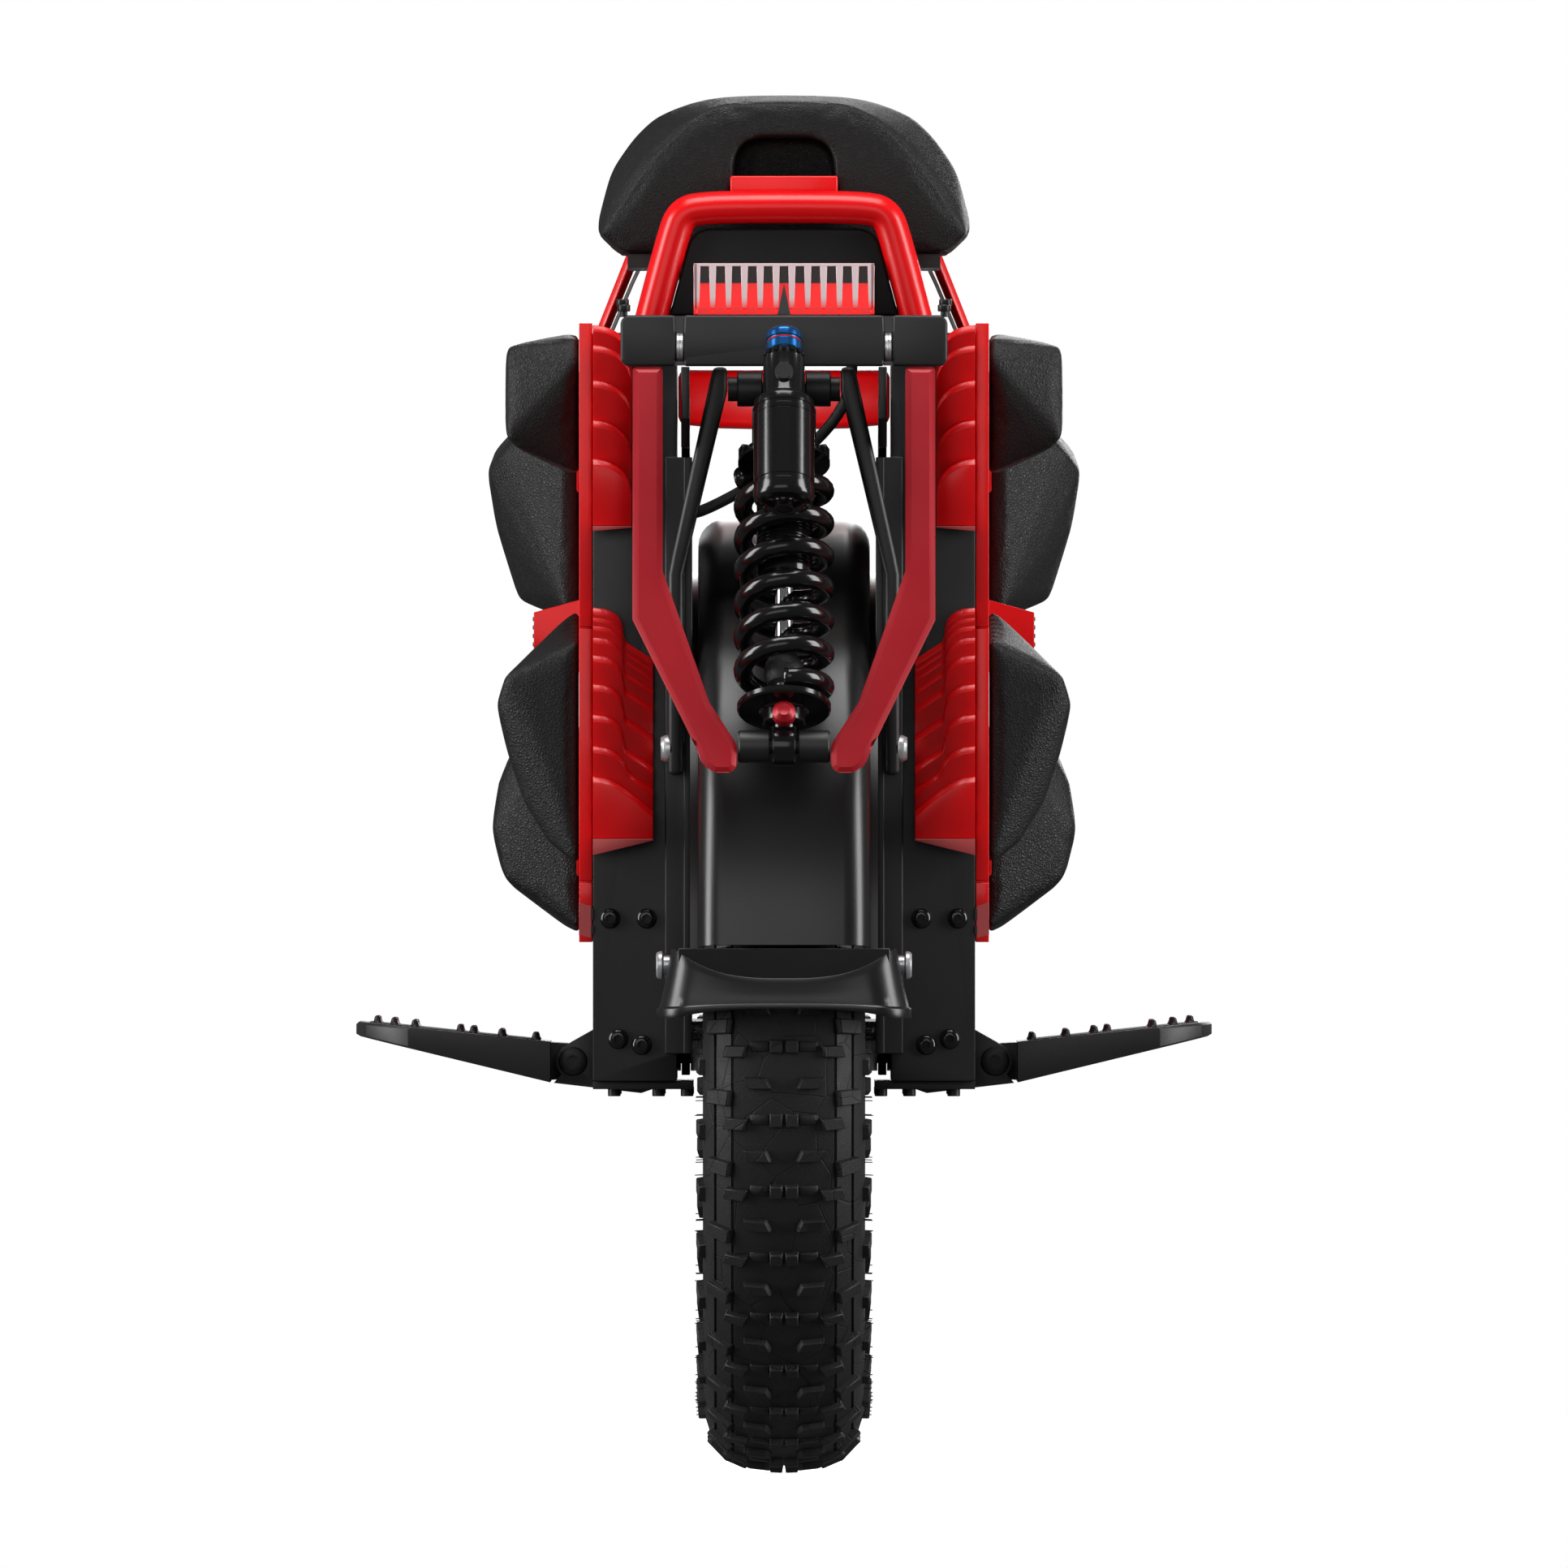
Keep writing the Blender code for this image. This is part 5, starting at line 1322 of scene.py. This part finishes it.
# %% Hoop tab
TAB_HALF = 0.0285
hoop_high = Vector(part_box("rear_hoop")[1])
tab = block("hoop_tab", (-TAB_HALF, min(hoop_high.y - 0.002, SEAT_LOW.y - 0.006), hoop_high.z - 0.0030),
            (TAB_HALF, SEAT_LOW.y - 0.0004, hoop_high.z + 0.0075))
round_edges(tab, 0.0012, 3)
add_trim(tab, RED, "body")

# %% [markdown]
# ## Tail light
# A row of upright fins glows in front of a deep red reflector. A pale frame closes the top and the
# sides, small scallops close the bottom, and a black wedge divides the light in the middle.

# %% Tail light
low, high = LENS_LOW, LENS_HIGH
reflector = block("tail_reflector", (low.x, high.y - 0.0012, low.z), (high.x, high.y, high.z))
round_edges(reflector, 0.0003, 1)
dress(reflector, DEEP_RED, "taillight_lens", "lens_red")
FINS = 12
gap = (high.x - low.x - 0.0034) / (FINS - 1)
fin = plate("fin", [(-0.0019, low.y, high.z - 0.0012), (0.0019, low.y, high.z - 0.0012),
                    (0.0013, low.y, low.z + 0.0030), (-0.0013, low.y, low.z + 0.0030)],
            (0, high.y - low.y - 0.001, 0))
round_edges(fin, 0.0003, 1)
fins = copies(fin, [Matrix.Translation((gap * (i - (FINS - 1) / 2), 0, 0)) for i in range(FINS)],
              "tail_fin_row")
# A dark red strip over the top of the reflector is painted shade.
shade = block("tail_shade", (low.x + 0.001, high.y - 0.0020, high.z - 0.0105),
              (high.x - 0.001, high.y - 0.0014, high.z - 0.0010))
add_trim(shade, TAIL_SHADE, "body")
RAIL = 0.002
rails = [block("frame_top", (low.x, low.y, high.z - 0.0016), (high.x, high.y - 0.0015, high.z))]
for x0, x1 in ((low.x, low.x + RAIL), (high.x - RAIL, high.x)):
    rails.append(block("frame_side", (x0, low.y, low.z), (x1, high.y - 0.0015, high.z)))
for rail in rails:
    round_edges(rail, 0.0003, 1)
fins = joined([fins] + rails, "tail_fins")
add_trim(fins, FIN_LIGHT, "body")
scallop = lathe("scallop", [(0.0, -0.0022), (0.0038, -0.0022), (0.0038, 0.0022), (0.0, 0.0022)],
                (0, 0, 0), (0, 1, 0), 20)
places = [Matrix.Translation((gap * (i + 0.5 - (FINS - 1) / 2), low.y + 0.0030, low.z + 0.0004))
          for i in range(FINS - 1)]
cup = copies(scallop, places, "tail_scallops")
for vert in cup.data.vertices:
    vert.co.z = max(vert.co.z, low.z)
add_trim(cup, TAIL_RED, "body")
divider = plate("tail_divider", [(-0.0034, low.y + 0.0005, low.z), (0.0034, low.y + 0.0005, low.z),
                                 (0.0, low.y + 0.0005, low.z + 0.0165)], (0, 0.003, 0))
add_trim(divider, GLOSS, "body")
glass = copy_of("headlight_lens", "headlight_glass")
round_edges(glass, 0.0012, 3)
dress(glass, CLEAR, "headlight_lens", "lens_clear")

# %% [markdown]
# ## Fender
# The fender is one channel section swept around the wheel, so its rounded section is traced once and
# spun through part of a turn about the fender's own centre. Its skirts end in a lip that closes the
# gap to the fork legs.

# %% Fender
low, high = corners("fender")
START, SWEEP = math.radians(5.5), math.radians(144.5)
arc_r = -low.y / math.cos(START)
centre = Vector((0, 0, high.z - arc_r))
wide, sheet, corner = high.x, 0.003, 0.0145
lip = min(abs(edge[0]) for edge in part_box("fork_leg_right")) - 0.0003
skirt, ledge = arc_r - 0.0300, arc_r - 0.0286


def shoulder(reach):
    """Quarter turn between the skirt and the crown, at a distance from the turn's centre."""
    turn = [math.radians(a) for a in range(0, 91, 15)]
    return [(wide - corner + reach * math.cos(a), arc_r - corner + reach * math.sin(a)) for a in turn]


outer = [(lip, skirt), (lip, ledge), (wide, ledge)] + shoulder(corner)
inside = [(wide - sheet, skirt)] + shoulder(corner - sheet)
loop = outer + [(-x, r) for x, r in reversed(outer)] + [(-x, r) for x, r in inside] + inside[::-1]
points = [centre + Vector((x, -r * math.cos(START), r * math.sin(START))) for x, r in loop]
fender = trace(points + [points[0]])
bpy.ops.mesh.remove_doubles(threshold=0.00001)
bpy.ops.mesh.select_all(action="SELECT")
bpy.ops.mesh.spin(steps=60, angle=SWEEP, center=centre, axis=(1, 0, 0))
bpy.ops.mesh.select_all(action="SELECT")
bpy.ops.mesh.remove_doubles(threshold=0.00001)
bpy.ops.mesh.fill_holes(sides=0)
done()
outward(fender)
settle(fender, "swept_fender")
bpy.ops.object.shade_smooth_by_angle(angle=math.radians(40))
dress(fender, FENDER_COAT, "fender", "satin_black")
print("fender faces:", len(fender.data.polygons))

# %% [markdown]
# ## Mud flap
# The flap wraps the back of the tyre in plan and flares towards its hem. It is a wall swept along a
# rounded path: each row of points is one height, each column one place along the path. A dark sheet
# stands inside it as painted shadow, where the inside of the flap lies in shade, and bolts hold its
# ends and the rails of the shock arms.

# %% Mud flap
low, high = corners("mud_flap")


def flap_plan(half_width, back, front, corner, steps=8):
    """Right half of the path in plan, from the middle of the back to the front end."""
    turn = [math.radians(90 * i / steps) for i in range(steps + 1)]
    bend = [(half_width - corner + corner * math.sin(a), back + corner - corner * math.cos(a))
            for a in turn]
    straight = [((half_width - corner) * i / 8, back) for i in range(8)]
    ends = [(half_width, back + corner + (front - back - corner) * i / 4) for i in range(1, 5)]
    return straight + bend + ends


FLAP_TALL = 0.037
# height of each row, how much narrower it is than the hem, and how far it lies in front of it
FLAP_ROWS = ((0.0, 0.0, 0.0), (0.005, 0.0, 0.0), (0.0062, 0.0012, 0.0010), (0.012, 0.0028, 0.0014),
             (0.020, 0.0046, 0.0024), (0.030, 0.0066, 0.0040), (FLAP_TALL, 0.0076, 0.0052))
rows = []
for lift, narrower, forward in FLAP_ROWS:
    half = flap_plan(high.x - narrower, low.y + forward, high.y, 0.020)
    plan = [(-x, y) for x, y in reversed(half[1:])] + half
    row = []
    for x, y in plan:
        part = min(1.0, abs(x) / 0.058)
        hem = 0.0050 * (1 - part ** 3)
        crest = FLAP_TALL - 0.0158 * (1 - part ** 3)
        height = hem + (crest - hem) * lift / FLAP_TALL
        row.append((x, y, low.z + height))
    rows.append(row)
count = len(rows[0])
faces = [(r * count + c, r * count + c + 1, (r + 1) * count + c + 1, (r + 1) * count + c)
         for r in range(len(rows) - 1) for c in range(count - 1)]
flap = mesh_from("flap", [point for row in rows for point in row], faces)
apply(flap, "SOLIDIFY", thickness=0.0034, offset=-1.0)
outward(flap)
round_edges(flap, 0.0008, 2, 40)
settle(flap, "wrapped_flap")
dress(flap, FENDER_COAT, "mud_flap", "satin_black")
# A dark sheet inside the flap: painted shadow.
SHADOW_SHEET_HALF = 0.0560
shadow_sheet_low = low.z + 0.006
shadow_sheet = plate("flap_screen", [(x, low.y + 0.0110, z) for x, z in (
    (-SHADOW_SHEET_HALF, shadow_sheet_low), (SHADOW_SHEET_HALF, shadow_sheet_low), (SHADOW_SHEET_HALF, high.z),
    (-SHADOW_SHEET_HALF, high.z))], (0, 0.0014, 0))
round_edges(shadow_sheet, 0.0004, 1)
add_trim(shadow_sheet, GLOSS, "carriage")
for side, sign in SIDES:
    bolt = lathe("flap_bolt_" + side, [
        (0.0, 0.0560), (0.0052, 0.0560), (0.0052, 0.0636), (0.0068, 0.0640), (0.0074, 0.0646),
        (0.0074, 0.0656), (0.0070, 0.0668), (0.0060, 0.0676), (0.0032, 0.0676), (0.0030, 0.0660),
        (0.0, 0.0660)],
        (0, -0.2250, low.z + 0.0280), (sign, 0, 0), 40)
    add_trim(bolt, STEEL, "carriage")
    arm_low, arm_high = corners("shock_arm_" + side)
    out = max(abs(arm_low.x), abs(arm_high.x))
    arm_bolt = lathe("rail_bolt_" + side, [
        (0.0, out - 0.001), (0.0071, out - 0.001), (0.0071, out + 0.0018), (0.0066, out + 0.0026),
        (0.0060, out + 0.0040), (0.0034, out + 0.0040), (0.0032, out + 0.0024), (0.0, out + 0.0024)],
        (0, (arm_low.y + arm_high.y) / 2, LOWER_EYE.z - 0.0010), (sign, 0, 0), 36)
    add_trim(arm_bolt, STEEL, "body")

# %% [markdown]
# ## Pedals
# Each pedal is a tapered plate. Its top carries grip tape and pointed studs for a boot's sole. Both
# ends of the hinge carry a screw with a hexagon socket.

# %% Pedals
for side, sign in SIDES:
    node = "pedal_" + side
    pedal = copy_of(node, "forged_pedal_" + side)
    round_edges(pedal, 0.0010, 3, 25)
    dress(pedal, SATIN, node, "dark_metal")
PEDAL_X = 0.1121
PEDAL_Z = 0.2195


def tread(x):
    """Height of the pedal's top at a distance from the middle of the machine."""
    return PEDAL_Z + 0.0096 + 0.1048 * (x - PEDAL_X - 0.0035)


STUD_ROWS = ((0.1320, (-0.075, -0.030, 0.030, 0.075)), (0.1500, (-0.090, -0.050, 0.0, 0.050, 0.090)),
             (0.1650, (-0.078, -0.026, 0.026, 0.078)), (0.1720, (-0.052, 0.0, 0.052)),
             (0.1960, (-0.086, -0.064, -0.022, 0.022, 0.064, 0.086)),
             (0.2070, (-0.074, -0.030, 0.030, 0.074)), (0.2160, (-0.050, 0.0, 0.050)))
TAPE = ((0.1300, -0.094), (0.1900, -0.094), (0.2120, -0.086), (0.2200, -0.066), (0.2200, 0.066),
        (0.2120, 0.086), (0.1900, 0.094), (0.1300, 0.094))
for side, sign in SIDES:
    stud = lathe("stud", [(0.0, -0.001), (0.0026, -0.001), (0.0026, 0.0006), (0.0021, 0.0012),
                          (0.0014, 0.0037), (0.0010, 0.0040), (0.0, 0.0040)], (0, 0, 0), (0, 0, 1), 14)
    spots = [Matrix.Translation((sign * x, y, tread(x))) for x, places in STUD_ROWS for y in places]
    studs = copies(stud, spots, "pedal_studs_" + side)
    add_trim(studs, GUNMETAL, "pedal_" + side)
    tape = plate("grip_tape_" + side, [(sign * x, y, tread(x) - 0.0002) for x, y in TAPE],
                 (0, 0, 0.0007))
    add_trim(tape, GRIP, "pedal_" + side)
    for y, way in ((-0.0740, -1), (0.0740, 1)):
        head = lathe("hinge_screw", [
            (0.0, -0.0005), (0.0076, -0.0005), (0.0077, 0.0006), (0.0070, 0.0020), (0.0056, 0.0026),
            (0.0, 0.0026)], (sign * PEDAL_X, y, PEDAL_Z), (0, way, 0), 36)
        hex_socket(head, 0.0034, 0.0032, (sign * PEDAL_X, y + way * 0.0026, PEDAL_Z))
        head.name = "hinge_screw_%s_%s" % (side, "rear" if way < 0 else "front")
        add_trim(head, SATIN, "body")
print("pedals ready")

# %% [markdown]
# ## Motor cable
# The cable leaves the left case behind the shock and climbs to the controller. It follows one smooth
# route through the same points as the frame's cable.

# %% Motor cable
CABLE = [Vector(point) for point in (
    (-0.0562, -0.142, 0.5110), (-0.0440, -0.142, 0.5115), (-0.0160, -0.142, 0.5260),
    (0.0160, -0.142, 0.5480), (0.0340, -0.136, 0.5740), (0.0360, -0.117, 0.6080),
    (0.0360, -0.0904, 0.6100))]
route = smooth_route(CABLE, 5)
length = sum((b - a).length for a, b in zip(route, route[1:]))
cable = pipe("motor_lead", route, 0.0030, 4)
dress(cable, CABLE_RUBBER, "motor_cable", "rubber")
tuple(route[0])
[tuple(point) for point in route]
print("cable length", round(length, 4))

# %% [markdown]
# ## The stage
# A long lens far away sees the machine almost without perspective. Large soft lights on both sides draw
# long highlights along the dark parts, and the pale world fills the rest.

# %% Camera, floor and light
def soft_light(name, place, target, size, power):
    bpy.ops.object.select_all(action="DESELECT")
    bpy.ops.object.light_add(type="AREA", location=place)
    lamp = bpy.context.object
    lamp.name = name
    lamp.data.shape = "RECTANGLE"
    lamp.data.size, lamp.data.size_y = size
    lamp.data.energy = power
    lamp.rotation_euler = (Vector(target) - Vector(place)).to_track_quat("-Z", "Y").to_euler()
    lamp.visible_camera = False
    return lamp


VIEW_HEIGHT = 0.8346
VIEW_MIDDLE = 0.3668
LENS = 1500.0
SENSOR = 36.0
FLOOR_GLOW = 0.85
WORLD_GLOW = 0.12
camera_data = bpy.data.cameras.new("camera")
camera_data.lens = LENS
camera_data.sensor_width = SENSOR
camera_data.clip_end = 300.0
camera = bpy.data.objects.new("camera", camera_data)
bpy.context.scene.collection.objects.link(camera)
camera.location = (0.0, -VIEW_HEIGHT * LENS / SENSOR, VIEW_MIDDLE)
camera.rotation_euler = (math.radians(90), 0, 0)
bpy.context.scene.camera = camera

bpy.ops.object.select_all(action="DESELECT")
bpy.ops.mesh.primitive_plane_add(size=6.0, location=(0, 0, 0))
floor = settle(bpy.context.object, "floor")
floor_mat, floor_shader = new_finish("pale_floor", (0.93, 0.93, 0.93), 0.9)
floor_shader.inputs["Emission Color"].default_value = (1.0, 1.0, 1.0, 1.0)
floor_shader.inputs["Emission Strength"].default_value = FLOOR_GLOW
floor.data.materials.append(floor_mat)
floor.visible_diffuse = False
floor.visible_glossy = False
floor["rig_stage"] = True

world = bpy.data.worlds.new("studio")
bpy.context.scene.world = world
world.use_nodes = True
tree = world.node_tree
seen = tree.nodes["Background"]
seen.inputs["Color"].default_value = (1.0, 1.0, 1.0, 1.0)
seen.inputs["Strength"].default_value = 1.0
ambient = tree.nodes.new("ShaderNodeBackground")
ambient.inputs["Color"].default_value = (0.95, 0.97, 1.0, 1.0)
ambient.inputs["Strength"].default_value = WORLD_GLOW
light_path = tree.nodes.new("ShaderNodeLightPath")
either = tree.nodes.new("ShaderNodeMixShader")
tree.links.new(light_path.outputs["Is Camera Ray"], either.inputs["Fac"])
tree.links.new(ambient.outputs["Background"], either.inputs[1])
tree.links.new(seen.outputs["Background"], either.inputs[2])
tree.links.new(either.outputs["Shader"], tree.nodes["World Output"].inputs["Surface"])
bpy.context.scene.view_settings.view_transform = "Standard"
soft_light("side_left", (-2.2, -0.7, 0.9), (0, 0, 0.4), (0.9, 2.0), 54.0)
soft_light("side_right", (2.2, -0.7, 0.9), (0, 0, 0.4), (0.9, 2.0), 54.0)
soft_light("top", (0.0, -0.5, 2.6), (0, 0, 0.4), (1.6, 1.2), 40.0)
soft_light("rear_fill", (-0.5, -2.6, 1.0), (0, 0, 0.4), (2.0, 1.2), 9.0)
brace_low, brace_high = corners("front_brace")
brace_z = (brace_low.z + brace_high.z) / 2
soft_light("brace_light", (0.0, brace_low.y - 0.14, brace_z), (0.0, brace_low.y, brace_z),
           (0.07, 0.03), 0.16)
soft_light("front_fill", (0.5, 2.4, 1.2), (0, 0, 0.4), (1.4, 1.4), 34.0)

# %% [markdown]
# Last, the outer size of the frame and of the dressed machine are put side by side, because
# a finer piece shouldn't reach past the solid it stands for.

# %% Finish
seen_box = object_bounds()
sizes = {"cad": [list(map(float, corner)) for corner in cad_box],
         "visual": [list(map(float, corner)) for corner in seen_box]}
print("box", sizes["visual"])
